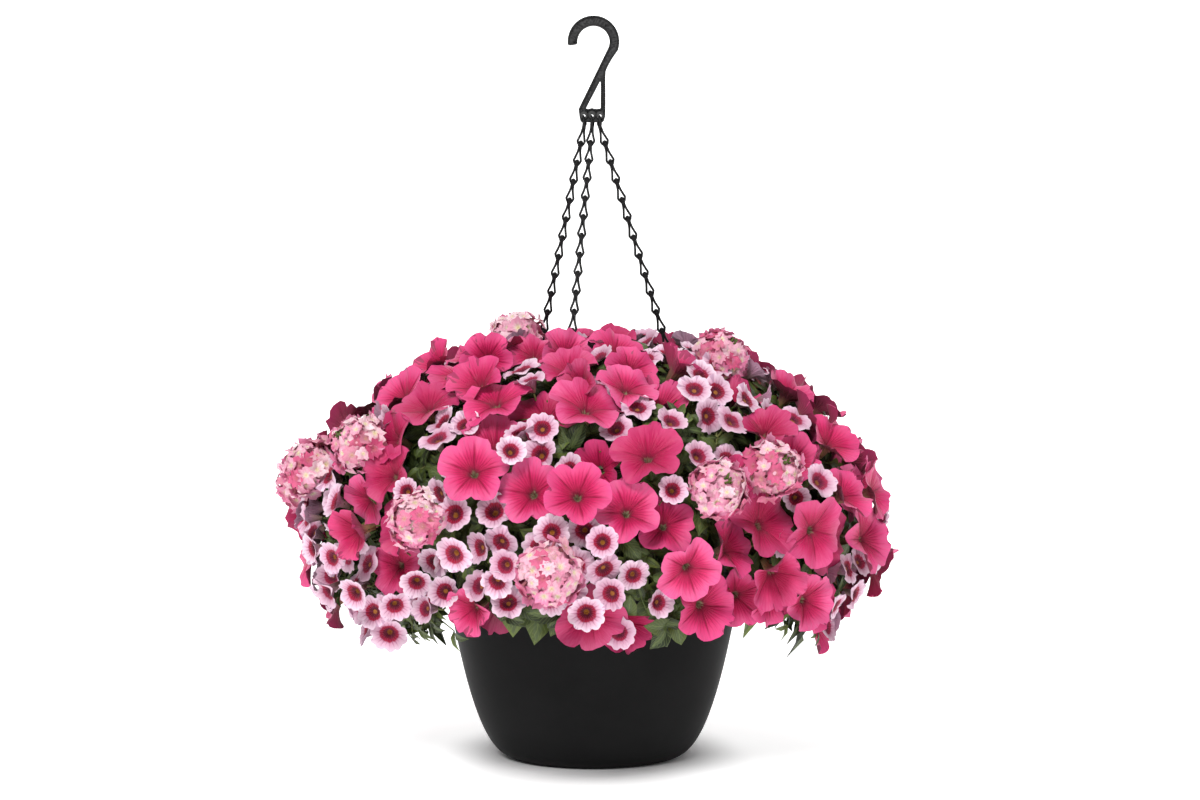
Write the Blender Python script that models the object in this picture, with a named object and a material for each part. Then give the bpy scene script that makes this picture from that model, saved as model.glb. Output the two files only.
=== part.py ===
"""A flowering hanging basket: a moulded pot on three link chains and a hook, full of trailing plants.

Metres, +Z up. The origin is the centre of the pot's flat foot, and the front of the basket faces -Y.
"""

import math
import random
from dataclasses import dataclass, field

import bmesh
import bpy
from mathutils import Vector
from mathutils.bvhtree import BVHTree

# Driving dimensions of the pot
FOOT_RADIUS = 0.080
RIM_RADIUS = 0.147
WALL_TOP = 0.171
BOWL_CURVE = 0.43
WALL = 0.003
COLLAR_RADIUS = 0.1436
COLLAR_TOP = 0.182
POT_SIDES = 32
BOWL_STATIONS = (0.018, 0.07, 0.2, 0.44, 0.7)
DRAIN_RADIUS = 0.005
DRAIN_CIRCLE = 0.045
DRAIN_COUNT = 4

# Pierced ears on the collar that carry the chains
EAR_WIDTH = 0.014
EAR_TOP = 0.1945
EAR_HOLE = 0.0026
EAR_HOLE_HEIGHT = 0.1885
EAR_ANGLES = {"left": 133.0, "front": 253.0, "right": 13.0}

# Soil
SOIL_TOP = 0.163
SOIL_CROWN = 0.004
HOLE_DEPTH = 0.030
GAP = 0.0003

# Hook, seen from the front
HOOK_TOP = 0.737
HOOK_OUTER = 0.0257
HOOK_INNER = 0.0160
HOOK_DEPTH = 0.007
HOOK_RIM = 0.0016
HOOK_RECESS = 0.0015
BAR_BOTTOM = 0.6315
BAR_TOP = 0.6445
EYE_HEIGHT = 0.638
EYE_RADIUS = 0.0026
EYE_PLACES = {"left": -0.0095, "front": -0.0015, "right": 0.0065}

# Chains
LINK_PITCH = 0.0193
LINK_HALF_WIDTH = 0.0041
WIRE = 0.0009
TOP_RING = 0.0056
EAR_RING = 0.0046
RING_SIDES = 8
RING_DROP = 0.0006

# Dome of flowers
DOME_X = 0.292
DOME_Y = 0.275
DOME_WAIST = 0.235
DOME_RISE = 0.182
UNDERCUT = 0.36
VIEW_DISTANCE = 2.3
VIEW_HEIGHT = 0.435
CLEAR = 0.0007
SEED = 61

# Stems
ROOT_CIRCLE = 0.118
ROOT_SPACING = 0.010
STEM_RADIUS = 0.0019
STEM_TIP = 0.0014
HUB_DEPTH = 0.045
JOINTS = (0.50, 0.72, 0.92)
JOINT_LENGTH = 0.0026
FIRST_JOINT = 3
BASE_RUN = 0.006
BLOOM_DEPTHS = (0.0, 0.006, 0.012, -0.005, 0.018, 0.024)
BLOOM_TRIES = 90
LEAF_TRIES = 12
LEAF_THICKNESS = 0.0008
NECK_SHARE = 0.8

# Direction that rings and rims start from, away from every main axis
REFERENCE = Vector((0.31, 0.22, 0.93))


@dataclass(frozen=True)
class Kind:
    """One kind of trumpet bloom, with its lengths as shares of the bloom's own radius."""

    name: str
    radius: float
    rim_points: int
    notch: float
    droop: float
    dish: float
    neck: float
    throat: float
    stalk: float
    blade: float
    leaf_length: float
    leaf_width: float
    blooms_to_a_spray: int


PETUNIA = Kind(
    name="petunia", radius=0.0310, rim_points=10, notch=0.80, droop=0.07, dish=0.30, neck=0.85,
    throat=0.11, stalk=0.0009, blade=0.0008, leaf_length=0.046, leaf_width=0.023, blooms_to_a_spray=4)
CALIBRACHOA = Kind(
    name="calibrachoa", radius=0.0178, rim_points=5, notch=1.0, droop=0.0, dish=0.30, neck=0.95,
    throat=0.14, stalk=0.0008, blade=0.0008, leaf_length=0.028, leaf_width=0.010, blooms_to_a_spray=5)
VERBENA = Kind(
    name="verbena", radius=0.0270, rim_points=5, notch=1.0, droop=0.0, dish=0.0, neck=0.0,
    throat=0.0, stalk=0.0, blade=0.0, leaf_length=0.042, leaf_width=0.016, blooms_to_a_spray=1)

# Blooms placed by eye, as the front shows them: millimetres right of the middle, and height
FRONT_PETUNIAS = (
    (-168, 352), (-135, 384), (-98, 357), (-55, 354), (-5, 347), (-109, 327), (-118, 282),
    (-65, 267), (-15, 259), (55, 302), (0, 300), (37, 247), (75, 237), (182, 232), (185, 177),
    (155, 147), (62, 202), (97, 182), (-240, 222), (-210, 232), (-225, 187), (35, 370), (72, 374),
    (174, 326), (210, 308), (255, 262), (225, 222), (217, 152), (277, 216), (287, 184),
    (-108, 212), (-3, 136), (-252, 325), (-193, 362), (24, 407), (197, 364), (262, 152),
    (-213, 287), (148, 372), (130, 222), (240, 315), (-25, 388), (120, 150),
)
FRONT_CALIBRACHOAS = (
    (-157, 318), (-139, 300), (-76, 331), (-56, 314), (-81, 295), (-35, 291), (-106, 247),
    (-140, 199), (-138, 237), (-195, 180), (-172, 180), (-198, 150), (-168, 148), (-205, 119),
    (-288, 236), (-283, 205), (-263, 196), (-268, 162), (-240, 160), (-13, 150), (-43, 152),
    (-9, 224), (14, 215), (-18, 182), (6, 179), (-41, 222), (-60, 230), (36, 157), (60, 157),
    (79, 334), (108, 303), (138, 331), (144, 308), (202, 337), (206, 287), (203, 257),
    (224, 272), (104, 207), (70, 267), (17, 325), (4, 384), (-228, 128), (-250, 140),
    (-186, 258), (-195, 320), (-222, 345), (235, 240), (-90, 186), (-265, 255),
)
FRONT_VERBENAS = (
    (-68, 412), (119, 395), (-278, 282), (-175, 230), (-52, 186), (123, 260), (175, 280),
    (-228, 308),
)
PETUNIA_COUNT = 84
CALIBRACHOA_COUNT = 90
VERBENA_COUNT = 12


def unit_spread(first, second):
    """Two unit vectors square to a direction and to each other."""
    side = first.cross(second)
    if side.length < 0.05:
        side = first.cross(Vector((1.0, 0.3, 0.2)))
    side.normalize()
    return side, first.cross(side).normalized()


def ring(centre, direction, radius, count, spin=0.0, reference=REFERENCE):
    """Points on a circle, counter-clockwise about the direction."""
    side, other = unit_spread(direction, reference)
    angles = [spin + math.tau * index / count for index in range(count)]
    return [centre + side * (radius * math.cos(a)) + other * (radius * math.sin(a)) for a in angles]


class Shape:
    """A closed surface in the making: points, and faces by point number."""

    def __init__(self):
        self.points = []
        self.faces = []

    def add_ring(self, points):
        """Add points and return their numbers."""
        start = len(self.points)
        self.points.extend(points)
        return list(range(start, len(self.points)))

    def stitch(self, lower, upper):
        """Triangles between two closed rings of any two counts, the upper one further along."""
        low = 0
        high = 0
        while low < len(lower) or high < len(upper):
            low_next = (low + 1) / len(lower)
            high_next = (high + 1) / len(upper)
            here = lower[low % len(lower)]
            there = upper[high % len(upper)]
            if low < len(lower) and low_next <= high_next + 1e-9:
                self.faces.append((here, lower[(low + 1) % len(lower)], there))
                low += 1
            else:
                self.faces.append((here, upper[(high + 1) % len(upper)], there))
                high += 1

    def close(self, rim, point, forward=True):
        """A fan from a ring to one point, at its far end or, with forward False, its near end."""
        apex = self.add_ring([point])[0]
        for index, here in enumerate(rim):
            after = rim[(index + 1) % len(rim)]
            self.faces.append((here, after, apex) if forward else (after, here, apex))

    def cap(self, rim, forward=True):
        """Close a ring with triangles between its own points."""
        for index in range(1, len(rim) - 1):
            corners = (rim[0], rim[index], rim[index + 1])
            self.faces.append(corners if forward else corners[::-1])

    def facing(self, rim, point):
        """The same ring, starting at the point number that lies nearest to a place."""
        first = min(range(len(rim)), key=lambda n: (self.points[rim[n]] - point).length)
        return rim[first:] + rim[:first]

    def middle_and_reach(self):
        """The centre of the points and the distance to the furthest of them."""
        middle = sum(self.points, Vector()) / len(self.points)
        return middle, max((point - middle).length for point in self.points)


def path_way(path, index):
    """Direction of a path at one of its points. Its first run keeps straight to its far end."""
    before = path[max(index - 1, 0)]
    after = path[min(index + 1, len(path) - 1)] if index != 1 else path[1]
    return (after - before).normalized()


def tube(path, radii, sides, reference=REFERENCE):
    """A closed tube along a path."""
    shape = Shape()
    rings = []
    for index, (point, radius) in enumerate(zip(path, radii)):
        rings.append(shape.add_ring(ring(point, path_way(path, index), radius, sides, 0.0, reference)))
    shape.cap(rings[0], forward=False)
    for lower, upper in zip(rings, rings[1:]):
        shape.stitch(lower, upper)
    shape.cap(rings[-1])
    return shape


def stem_radii(path, grow=0.0):
    """Radius of a stem at each point of its path, thinner towards its tip."""
    last = len(path) - 1
    return [STEM_RADIUS + (STEM_TIP - STEM_RADIUS) * index / last + grow for index in range(last + 1)]


# Dome of flowers

def skirt_height(angle):
    """Height of the lowest flowers in degrees round the pot: the front is at -90."""
    def bump(middle, width):
        away = (angle - middle + 180.0) % 360.0 - 180.0
        return math.exp(-(away / width) ** 2)
    return 0.128 + 0.024 * bump(-80.0, 30.0) + 0.055 * bump(-126.0, 16.0) - 0.026 * bump(-165.0, 24.0)


def dome_value(point):
    """Below 1 inside the dome of flowers, 1 on it."""
    across = math.hypot(point.x / DOME_X, point.y / DOME_Y)
    if point.z >= DOME_WAIST:
        return math.hypot(across, (point.z - DOME_WAIST) / DOME_RISE)
    low = skirt_height(math.degrees(math.atan2(point.y, point.x)))
    down = (DOME_WAIST - point.z) / (DOME_WAIST - low)
    if down >= 1.0:
        return 1.0 + down
    return across / (1.0 - UNDERCUT * (1.0 - math.sqrt(1.0 - down * down)))


def dome_outward(point):
    """Unit vector out of the dome at a point."""
    step = 0.004
    across = [Vector((step, 0, 0)), Vector((0, step, 0)), Vector((0, 0, step))]
    slope = Vector([min(dome_value(point + a), 3.0) - min(dome_value(point - a), 3.0) for a in across])
    slope.z = max(min(slope.z, 0.9), -0.35 * math.hypot(slope.x, slope.y))
    return slope.normalized()


def first_on_dome(start, end):
    """Where a line from outside to inside enters the dome."""
    low, high = 0.0, 1.0
    for _ in range(30):
        half = (low + high) / 2.0
        if dome_value(start.lerp(end, half)) > 1.0:
            low = half
        else:
            high = half
    return start.lerp(end, high)


def seen_from_front(across, height):
    """The dome's point that the front view shows at a place, both in millimetres."""
    eye = Vector((0.0, -VIEW_DISTANCE, VIEW_HEIGHT))
    plane = Vector((across, 0.0, height)) / 1000.0
    for percent in range(24):
        inner = plane.lerp(eye, 0.115 - 0.005 * percent)
        if dome_value(inner) < 1.0:
            return first_on_dome(plane.lerp(eye, 0.2), inner)
    return plane


# Trumpet blooms, leaves and heads

@dataclass
class Bloom:
    """One trumpet bloom: its face looks along its axis, and its stalk starts at its root."""

    kind: Kind
    centre: Vector
    axis: Vector
    radius: float
    spin: float
    root: Vector

    def neck(self):
        """Where the stalk meets the trumpet."""
        return self.centre - self.axis * (self.kind.neck * self.radius)

    def rim(self, middle, grow):
        """The lobed edge of the face, round a middle point."""
        kind = self.kind
        side, other = unit_spread(self.axis, REFERENCE)
        points = []
        for index in range(kind.rim_points):
            lobe = index % 2 == 0 or kind.rim_points == 5
            reach = self.radius * (1.0 if lobe else kind.notch) + grow
            sink = self.axis * (self.radius * kind.droop * (1.0 if lobe else -0.6))
            angle = self.spin + math.tau * index / kind.rim_points
            points.append(middle - sink + (side * math.cos(angle) + other * math.sin(angle)) * reach)
        return points

    def raise_from(self, surface, base, grow=0.0):
        """Raise stalk, trumpet and face from a ring that the surface already has."""
        kind = self.kind
        half = kind.blade / 2.0 + grow
        front = self.centre + self.axis * half
        corners = [surface.points[number] for number in base]
        normal = (corners[1] - corners[0]).cross(corners[2] - corners[0]).normalized()
        way = (self.neck() - self.root).normalized()
        first = corners[0] - sum(corners, Vector()) / len(corners)
        first.rotate(normal.rotation_difference(way))
        first.rotate(way.rotation_difference(self.axis))
        side, other = unit_spread(self.axis, REFERENCE)
        turn = math.atan2(first.dot(other), first.dot(side))
        collar = surface.add_ring(ring(self.neck(), self.axis, kind.throat * self.radius + grow, 3, turn))
        back_rim = surface.add_ring(self.rim(self.centre - self.axis * half, grow))
        front_rim = surface.add_ring(self.rim(front, grow))
        surface.stitch(base, collar)
        surface.stitch(collar, surface.facing(back_rim, surface.points[collar[0]]))
        surface.stitch(back_rim, front_rim)
        surface.close(front_rim, front - self.axis * (kind.dish * self.radius - grow))

    def room(self, run=0.0):
        """The space that the bloom takes from a little way out from its root."""
        surface = Shape()
        way = (self.neck() - self.root).normalized()
        base = surface.add_ring(ring(self.root + way * run, way, self.kind.stalk + CLEAR, 3))
        surface.cap(base, forward=False)
        self.raise_from(surface, base, CLEAR)
        return surface


@dataclass
class Leaf:
    """One thin arched blade from its root to its tip, with its upper face along lift."""

    root: Vector
    along: Vector
    lift: Vector
    width: float
    broad: bool
    thick: float = LEAF_THICKNESS

    def stations(self):
        """Middle of the blade and its share of the full width, from root to tip."""
        arch = self.lift * self.along.length
        if self.broad:
            return (0.36, 0.92, 0.05 * arch), (0.72, 0.84, Vector())
        return ((0.5, 1.0, 0.04 * arch),)

    def raise_from(self, surface, base, grow=0.0):
        """Raise the blade from a ring of four points that the surface already has."""
        side = self.lift.cross(self.along).normalized()
        up = self.lift * (self.thick / 2.0 + grow)
        for share, wide, arch in self.stations():
            middle = self.root + self.along * share + arch
            half = side * (self.width * wide / 2.0 + grow)
            corners = [middle - half - up, middle + half - up, middle + half + up, middle - half + up]
            after = surface.add_ring(corners)
            surface.stitch(base, after)
            base = after
        length = self.along.length
        tip = self.root + self.along * (1.0 + grow / length) - self.lift * (0.16 * length)
        surface.stitch(base, surface.add_ring([tip - up, tip + up]))

    def room(self, run=0.0):
        """The space that the leaf takes from a little way out from its root."""
        surface = Shape()
        side = self.lift.cross(self.along).normalized() * (0.001 + CLEAR)
        up = self.lift * (0.001 + CLEAR)
        low = self.root + self.along.normalized() * run - up
        high = low + up * 2.0
        base = surface.add_ring([low - side, low + side, high + side, high - side])
        surface.cap(base, forward=False)
        self.raise_from(surface, base, CLEAR)
        return surface


@dataclass
class Head:
    """One rounded head of florets that stand shoulder to shoulder round a smaller core."""

    centre: Vector
    axis: Vector
    radius: float
    spin: float

    def place(self, point):
        """A point of the head's own frame in the basket's frame, a little flatter along the axis."""
        side, other = unit_spread(self.axis, REFERENCE)
        across = side * math.cos(self.spin) + other * math.sin(self.spin)
        beside = other * math.cos(self.spin) - side * math.sin(self.spin)
        return self.centre + across * point.x + beside * point.y + self.axis * (point.z * 0.88)

    def raise_from(self, surface, base, grow=0.0):
        """Raise eleven five-sided florets, with a groove round each, from the ring at a stem's tip."""
        towards = floret_directions()
        corners = floret_corners(towards)
        core = 0.72 * self.radius + grow
        edge = self.radius + grow
        grooves = surface.add_ring([self.place(corner * core) for corner in corners])
        for number, middle in enumerate(towards):
            near = sorted(range(len(corners)), key=lambda n: -corners[n].dot(middle))[:5]
            side, other = unit_spread(middle, REFERENCE)
            near.sort(key=lambda n: math.atan2(corners[n].dot(other), corners[n].dot(side)))
            if number == 1:
                under = [grooves[n] for n in reversed(near)]
                surface.stitch(base, surface.facing(under, surface.points[base[0]]))
                continue
            rim = [corners[n].lerp(middle, 0.20).normalized() * edge for n in near]
            rim = surface.add_ring([self.place(point) for point in rim])
            surface.stitch([grooves[n] for n in near], rim)
            surface.close(rim, self.place(middle * (edge - 0.12 * self.radius)))

    def room(self, run=0.0):
        """The space that the head takes from a little way up its neck."""
        surface = Shape()
        start = self.centre - self.axis * (NECK_SHARE * self.radius - min(run, 0.1 * self.radius))
        base = surface.add_ring(ring(start, self.axis, 0.002, 3))
        surface.cap(base, forward=False)
        self.raise_from(surface, base, CLEAR)
        return surface


def floret_directions():
    """Twelve even directions: straight up, straight down and two rings of five."""
    towards = [Vector((0, 0, 1)), Vector((0, 0, -1))]
    height = 1.0 / math.sqrt(5.0)
    reach = 2.0 * height
    for index in range(5):
        angle = math.tau * index / 5.0
        towards.append(Vector((reach * math.cos(angle), reach * math.sin(angle), height)))
        angle += math.tau / 10.0
        towards.append(Vector((reach * math.cos(angle), reach * math.sin(angle), -height)))
    return towards


def floret_corners(towards):
    """The twenty directions that lie in the middle of three neighbouring ones."""
    corners = []
    for one in range(12):
        for two in range(one + 1, 12):
            for three in range(two + 1, 12):
                trio = (towards[one], towards[two], towards[three])
                if all(trio[a].dot(trio[(a + 1) % 3]) > 0.4 for a in range(3)):
                    corners.append(sum(trio, Vector()).normalized())
    return corners


class Space:
    """What already has its place, so that each new piece can be kept clear of all of it."""

    def __init__(self):
        self.taken = []

    def add(self, owner, shape):
        """Remember a shape. Its owner, where it has one, may touch it."""
        middle, reach = shape.middle_and_reach()
        self.taken.append((owner, as_tree(shape), middle, reach))

    def is_free(self, owner, shape):
        """Whether a shape crosses nothing but what its owner may touch."""
        middle, reach = shape.middle_and_reach()
        tree = None
        for other, other_tree, other_middle, other_reach in self.taken:
            if other == owner or (middle - other_middle).length > reach + other_reach:
                continue
            if tree is None:
                tree = as_tree(shape)
            if tree.overlap(other_tree):
                return False
        return True


@dataclass
class Host:
    """A small four-cornered place on a stem that one stalk or leaf can grow from."""

    corners: list
    middle: Vector
    normal: Vector
    upward: Vector
    piece: object = None


@dataclass
class Spray:
    """One leafy stem with what it bears."""

    kind: Kind
    places: list
    name: str = ""
    root: Vector = None
    hub: Vector = None
    path: list = field(default_factory=list)
    hosts: list = field(default_factory=list)
    own_trees: list = field(default_factory=list)

    def middle(self):
        """The centre of the places that the spray flowers at."""
        return sum(self.places, Vector()) / len(self.places)

    def beside(self):
        """The level direction square to the plane that the stem bends in."""
        return Vector((-self.hub.y, self.hub.x, 0.0)).normalized()

    def stem(self):
        """The stem alone, with its hosts' sides open, as a surface and its rings."""
        surface = Shape()
        rings = []
        for index, (point, radius) in enumerate(zip(self.path, stem_radii(self.path))):
            around = ring(point, path_way(self.path, index), radius, 3, 0.0, self.beside())
            rings.append(surface.add_ring(around))
        surface.cap(rings[0], forward=False)
        for index in range(len(rings) - 1):
            if not self.is_joint(index):
                surface.stitch(rings[index], rings[index + 1])
        return surface, rings

    @staticmethod
    def is_joint(index):
        """Whether the run after a ring of the stem is one of its short joints."""
        return index >= FIRST_JOINT and (index - FIRST_JOINT) % 2 == 0

    def find_hosts(self):
        """List the places on the stem's joints that can bear something."""
        surface, rings = self.stem()
        self.hosts = []
        for index in range(FIRST_JOINT, len(rings) - 1, 2):
            low, high = rings[index], rings[index + 1]
            for side in range(3):
                after = (side + 1) % 3
                corners = [low[side], low[after], high[after], high[side]]
                points = [surface.points[n] for n in corners]
                normal = (points[1] - points[0]).cross(points[3] - points[0]).normalized()
                upward = (self.path[index + 1] - self.path[index]).normalized()
                self.hosts.append(Host(corners, sum(points, Vector()) / 4.0, normal, upward))
        onward = path_way(self.path, len(self.path) - 1)
        self.hosts.append(Host(rings[-1], self.path[-1], onward, self.beside()))

    def free_hosts(self, target, limit):
        """Free hosts in order of how well they face a target."""
        rated = []
        for host in self.hosts:
            facing = (target - host.middle).normalized().dot(host.normal)
            if host.piece is None and facing > limit:
                rated.append((facing - 4.0 * (target - host.middle).length, host))
        rated.sort(key=lambda item: -item[0])
        return [host for _, host in rated]

    def pieces(self):
        """Everything that the stem bears."""
        return [host.piece for host in self.hosts if host.piece is not None]

    def surface(self):
        """One closed surface, and the number of the first face of each piece that it bears."""
        surface = self.stem()[0]
        starts = []
        for host in self.hosts:
            corners = host.corners
            if len(corners) == 4 and host.piece is None:
                surface.faces.append((corners[0], corners[1], corners[3]))
            if len(corners) == 4 and not isinstance(host.piece, Leaf):
                surface.faces.append((corners[1], corners[2], corners[3]))
            if len(corners) == 3 and host.piece is None:
                surface.cap(corners)
        for host in self.hosts:
            if host.piece is not None:
                corners = host.corners
                whole = len(corners) == 3 or isinstance(host.piece, Leaf)
                starts.append((len(surface.faces), host.piece))
                host.piece.raise_from(surface, corners if whole else [corners[0], corners[1], corners[3]])
        return surface, starts


def as_tree(shape):
    """A search tree of a shape's faces."""
    return BVHTree.FromPolygons([tuple(point) for point in shape.points], shape.faces)


def first_crossing(spray):
    """The piece of a spray that crosses another run of its surface, or None."""
    surface, starts = spray.surface()
    tree = as_tree(surface)
    for one, two in tree.overlap(tree):
        if one < two and not set(surface.faces[one]) & set(surface.faces[two]):
            owners = [piece for start, piece in starts if start <= two]
            if owners:
                return owners[-1]
    return None


class Planting:
    """The rule that sets every stem, bloom, head and leaf, with one seeded draw."""

    def __init__(self):
        self.draw = random.Random(SEED)
        self.space = Space()
        self.sprays = []

    def small(self, size):
        """A small random vector."""
        return Vector([self.draw.uniform(-size, size) for _ in range(3)])

    def flower_places(self):
        """Places on the dome for each kind: by eye in front, by spaced random draws elsewhere."""
        listed = ((VERBENA, FRONT_VERBENAS), (PETUNIA, FRONT_PETUNIAS), (CALIBRACHOA, FRONT_CALIBRACHOAS))
        wanted = {"petunia": PETUNIA_COUNT, "calibrachoa": CALIBRACHOA_COUNT, "verbena": VERBENA_COUNT}
        found = {kind.name: [seen_from_front(*place) for place in places] for kind, places in listed}
        spread = [(point, kind.radius) for kind, _ in listed for point in found[kind.name]]
        middle = Vector((0.0, 0.0, 0.24))
        draws = ((VERBENA, 1.5, 400), (PETUNIA, 0.95, 5000), (CALIBRACHOA, 0.86, 8000))
        for kind, spacing, tries in draws:
            for _ in range(tries):
                if len(found[kind.name]) >= wanted[kind.name]:
                    break
                turn = self.draw.uniform(0.0, math.tau)
                rise = self.draw.uniform(-0.42, 0.99)
                flat = math.sqrt(1.0 - rise * rise)
                way = Vector((flat * math.cos(turn), flat * math.sin(turn), rise))
                point = first_on_dome(middle + way * 0.5, middle + way * 0.02)
                if point.y < -0.02 and kind is VERBENA:
                    continue
                if math.hypot(point.x, point.y) < 0.185 and point.z < 0.24:
                    continue
                gaps = [(point - other).length - spacing * (kind.radius + size) for other, size in spread]
                if min(gaps) > 0.0:
                    found[kind.name].append(point)
                    spread.append((point, kind.radius))
        return found

    def group(self, kind, places):
        """Share the places of one kind out to sprays of neighbours."""
        count = max(1, round(len(places) / kind.blooms_to_a_spray))
        seeds = [places[0]]
        while len(seeds) < count:
            seeds.append(max(places, key=lambda p: min((p - seed).length for seed in seeds)))
        for _ in range(6):
            shares = [[] for _ in seeds]
            for place in places:
                nearest = min(range(len(seeds)), key=lambda n: (place - seeds[n]).length)
                shares[nearest].append(place)
            shares = [share for share in shares if share]
            seeds = [sum(share, Vector()) / len(share) for share in shares]
        for share in shares:
            self.sprays.append(Spray(kind, share))

    def set_roots(self):
        """Root each stem under its own part of the dome, spaced in the soil."""
        for spray in self.sprays:
            middle = spray.middle()
            outward = dome_outward(first_on_dome(middle + dome_outward(middle) * 0.1, middle * 0.6))
            deep = HUB_DEPTH if spray.kind is not VERBENA else spray.kind.radius * 0.5
            spray.hub = middle - outward * (deep * 0.8)
            reach = math.hypot(spray.hub.x, spray.hub.y)
            lean = math.atan2(reach, max(spray.hub.z - 0.19, 0.001))
            far = ROOT_CIRCLE * min(1.0, lean / math.radians(88.0)) ** 0.9
            spray.root = Vector((spray.hub.x, spray.hub.y, 0.0)) * (far / max(reach, 0.001))
        for _ in range(60):
            for one, first in enumerate(self.sprays):
                for second in self.sprays[one + 1:]:
                    apart = second.root - first.root
                    if 0.0 < apart.length < ROOT_SPACING:
                        push = apart.normalized() * ((ROOT_SPACING - apart.length) / 2.0)
                        first.root = first.root - push
                        second.root = second.root + push
            for spray in self.sprays:
                if spray.root.length > ROOT_CIRCLE:
                    spray.root = spray.root * (ROOT_CIRCLE / spray.root.length)

    def stem_path(self, spray, lift, bend):
        """A stem that rises out of its hole and leans, or arches over the rim, to its hub."""
        low = min(max((0.275 - spray.hub.z) / 0.09, 0.0), 1.0)
        flat = Vector((spray.hub.x, spray.hub.y, 0.0)).normalized()
        foot = Vector((spray.root.x, spray.root.y, SOIL_TOP + SOIL_CROWN + 0.003))
        span = (spray.hub - foot).length
        first = foot + Vector((0.0, 0.0, span * 0.35 + 0.045 * low + lift)) + bend * 0.5
        second = spray.hub - flat * (0.045 + 0.01 * low) + bend
        second.z += 0.085 * low + lift - 0.03

        def curve(step):
            back = 1.0 - step
            point = foot * back ** 3 + first * (3 * back * back * step)
            return point + second * (3 * back * step * step) + spray.hub * step ** 3

        path = [Vector((foot.x, foot.y, SOIL_TOP - HOLE_DEPTH)), foot, curve(0.26)]
        for joint in JOINTS:
            step = joint * (0.86 if spray.kind is VERBENA else 1.0)
            onward = (curve(step + 0.01) - curve(step - 0.01)).normalized() * (JOINT_LENGTH / 2.0)
            path += [curve(step) - onward, curve(step) + onward]
        return path + [spray.hub.copy()]

    def grow_stems(self):
        """Set each stem clear of the others, bending it where it must."""
        self.sprays.sort(key=lambda spray: -spray.hub.z)
        kept = []
        for spray in self.sprays:
            for attempt in range(80):
                bend = self.small(0.004 + 0.0006 * attempt) if attempt else Vector()
                path = self.stem_path(spray, 0.006 * (attempt % 4), bend)
                grown = tube(path, stem_radii(path, CLEAR), 3, spray.beside())
                if self.space.is_free(None, grown):
                    spray.path = path
                    self.space.add(id(spray), grown)
                    spray.own_trees.append(as_tree(tube(path, stem_radii(path), 3, spray.beside())))
                    spray.find_hosts()
                    kept.append(spray)
                    break
        self.sprays = kept

    def fits(self, spray, piece):
        """Whether a piece is clear of all other nodes and of what its own stem bears."""
        room = piece.room()
        low = [point for point in room.points if point.z < SOIL_TOP + 0.010]
        if any(math.hypot(point.x, point.y) < RIM_RADIUS for point in low):
            return False
        short = as_tree(piece.room(BASE_RUN))
        if any(short.overlap(tree) for tree in spray.own_trees):
            return False
        return self.space.is_free(id(spray), room)

    def settle(self, spray, host, piece):
        """Let a host bear a piece, and keep its place free from now on."""
        host.piece = piece
        spray.own_trees.append(as_tree(piece.room(BASE_RUN)))
        self.space.add(id(spray), piece.room())

    def bear_heads(self):
        """Put a head of florets on the tip of each verbena stem."""
        for spray in self.sprays:
            if spray.kind is VERBENA:
                axis = path_way(spray.path, len(spray.path) - 1)
                size = VERBENA.radius * self.draw.uniform(0.93, 1.08)
                centre = spray.path[-1] + axis * (size * 0.66)
                self.settle(spray, spray.hosts[-1], Head(centre, axis, size, self.draw.uniform(0.0, 6.0)))

    def bear_blooms(self, kind):
        """Put the blooms of one kind in place, stepping back or aside from the rest."""
        for spray in self.sprays:
            if spray.kind is kind:
                for place in spray.places:
                    self.bear_bloom(spray, place)

    def bear_bloom(self, spray, place):
        """Try one bloom at its place, then deeper, then aside, until it is clear."""
        kind = spray.kind
        outward = dome_outward(place)
        size = kind.radius * self.draw.uniform(0.90, 1.07)
        spin = self.draw.uniform(0.0, math.tau)
        for attempt in range(BLOOM_TRIES):
            depth = BLOOM_DEPTHS[attempt % len(BLOOM_DEPTHS)]
            loose = 0.0 if attempt < len(BLOOM_DEPTHS) else 0.0035 + 0.00012 * attempt
            axis = outward + self.small(0.22 + 0.003 * attempt) + Vector((0.0, -0.04, 0.05))
            axis.normalize()
            centre = place - outward * depth + self.small(loose)
            shrink = 1.0 if attempt < BLOOM_TRIES // 2 else 0.88
            bloom = Bloom(kind, centre, axis, size * shrink, spin, centre)
            for host in spray.free_hosts(bloom.neck(), 0.25)[:3]:
                bloom.root = host.middle
                if (bloom.neck() - bloom.root).normalized().dot(axis) > 0.12 and self.fits(spray, bloom):
                    self.settle(spray, host, bloom)
                    return

    def bear_leaves(self, wanted):
        """Set leaves on what is left of each stem's joints, out towards the light."""
        for spray in self.sprays:
            kind = spray.kind
            free = [host for host in spray.hosts[:-1] if host.piece is None]
            free.sort(key=lambda host: -dome_value(host.middle))
            grown = 0
            for host in free:
                for attempt in range(LEAF_TRIES):
                    if host.piece is not None or grown >= wanted:
                        break
                    way = host.normal + host.upward * self.draw.uniform(0.1, 0.9) + self.small(0.45)
                    way = (way + dome_outward(host.middle) * 0.5).normalized()
                    if way.dot(host.normal) < 0.3:
                        continue
                    length = kind.leaf_length * self.draw.uniform(0.85, 1.15) * (1.0 - 0.015 * attempt)
                    side = way.cross(host.upward).normalized()
                    lift = side.cross(way)
                    leaf = Leaf(host.middle, way * length, lift, kind.leaf_width, kind is PETUNIA)
                    if dome_value(leaf.root + leaf.along) < 1.04 and self.fits(spray, leaf):
                        self.settle(spray, host, leaf)
                        grown += 1

    def drop_crossings(self):
        """Take off any bloom or leaf that still crosses its own spray close to a joint."""
        for spray in self.sprays:
            for _ in range(len(spray.hosts)):
                crossing = first_crossing(spray)
                for host in spray.hosts:
                    if crossing is not None and host.piece is crossing:
                        host.piece = None

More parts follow.
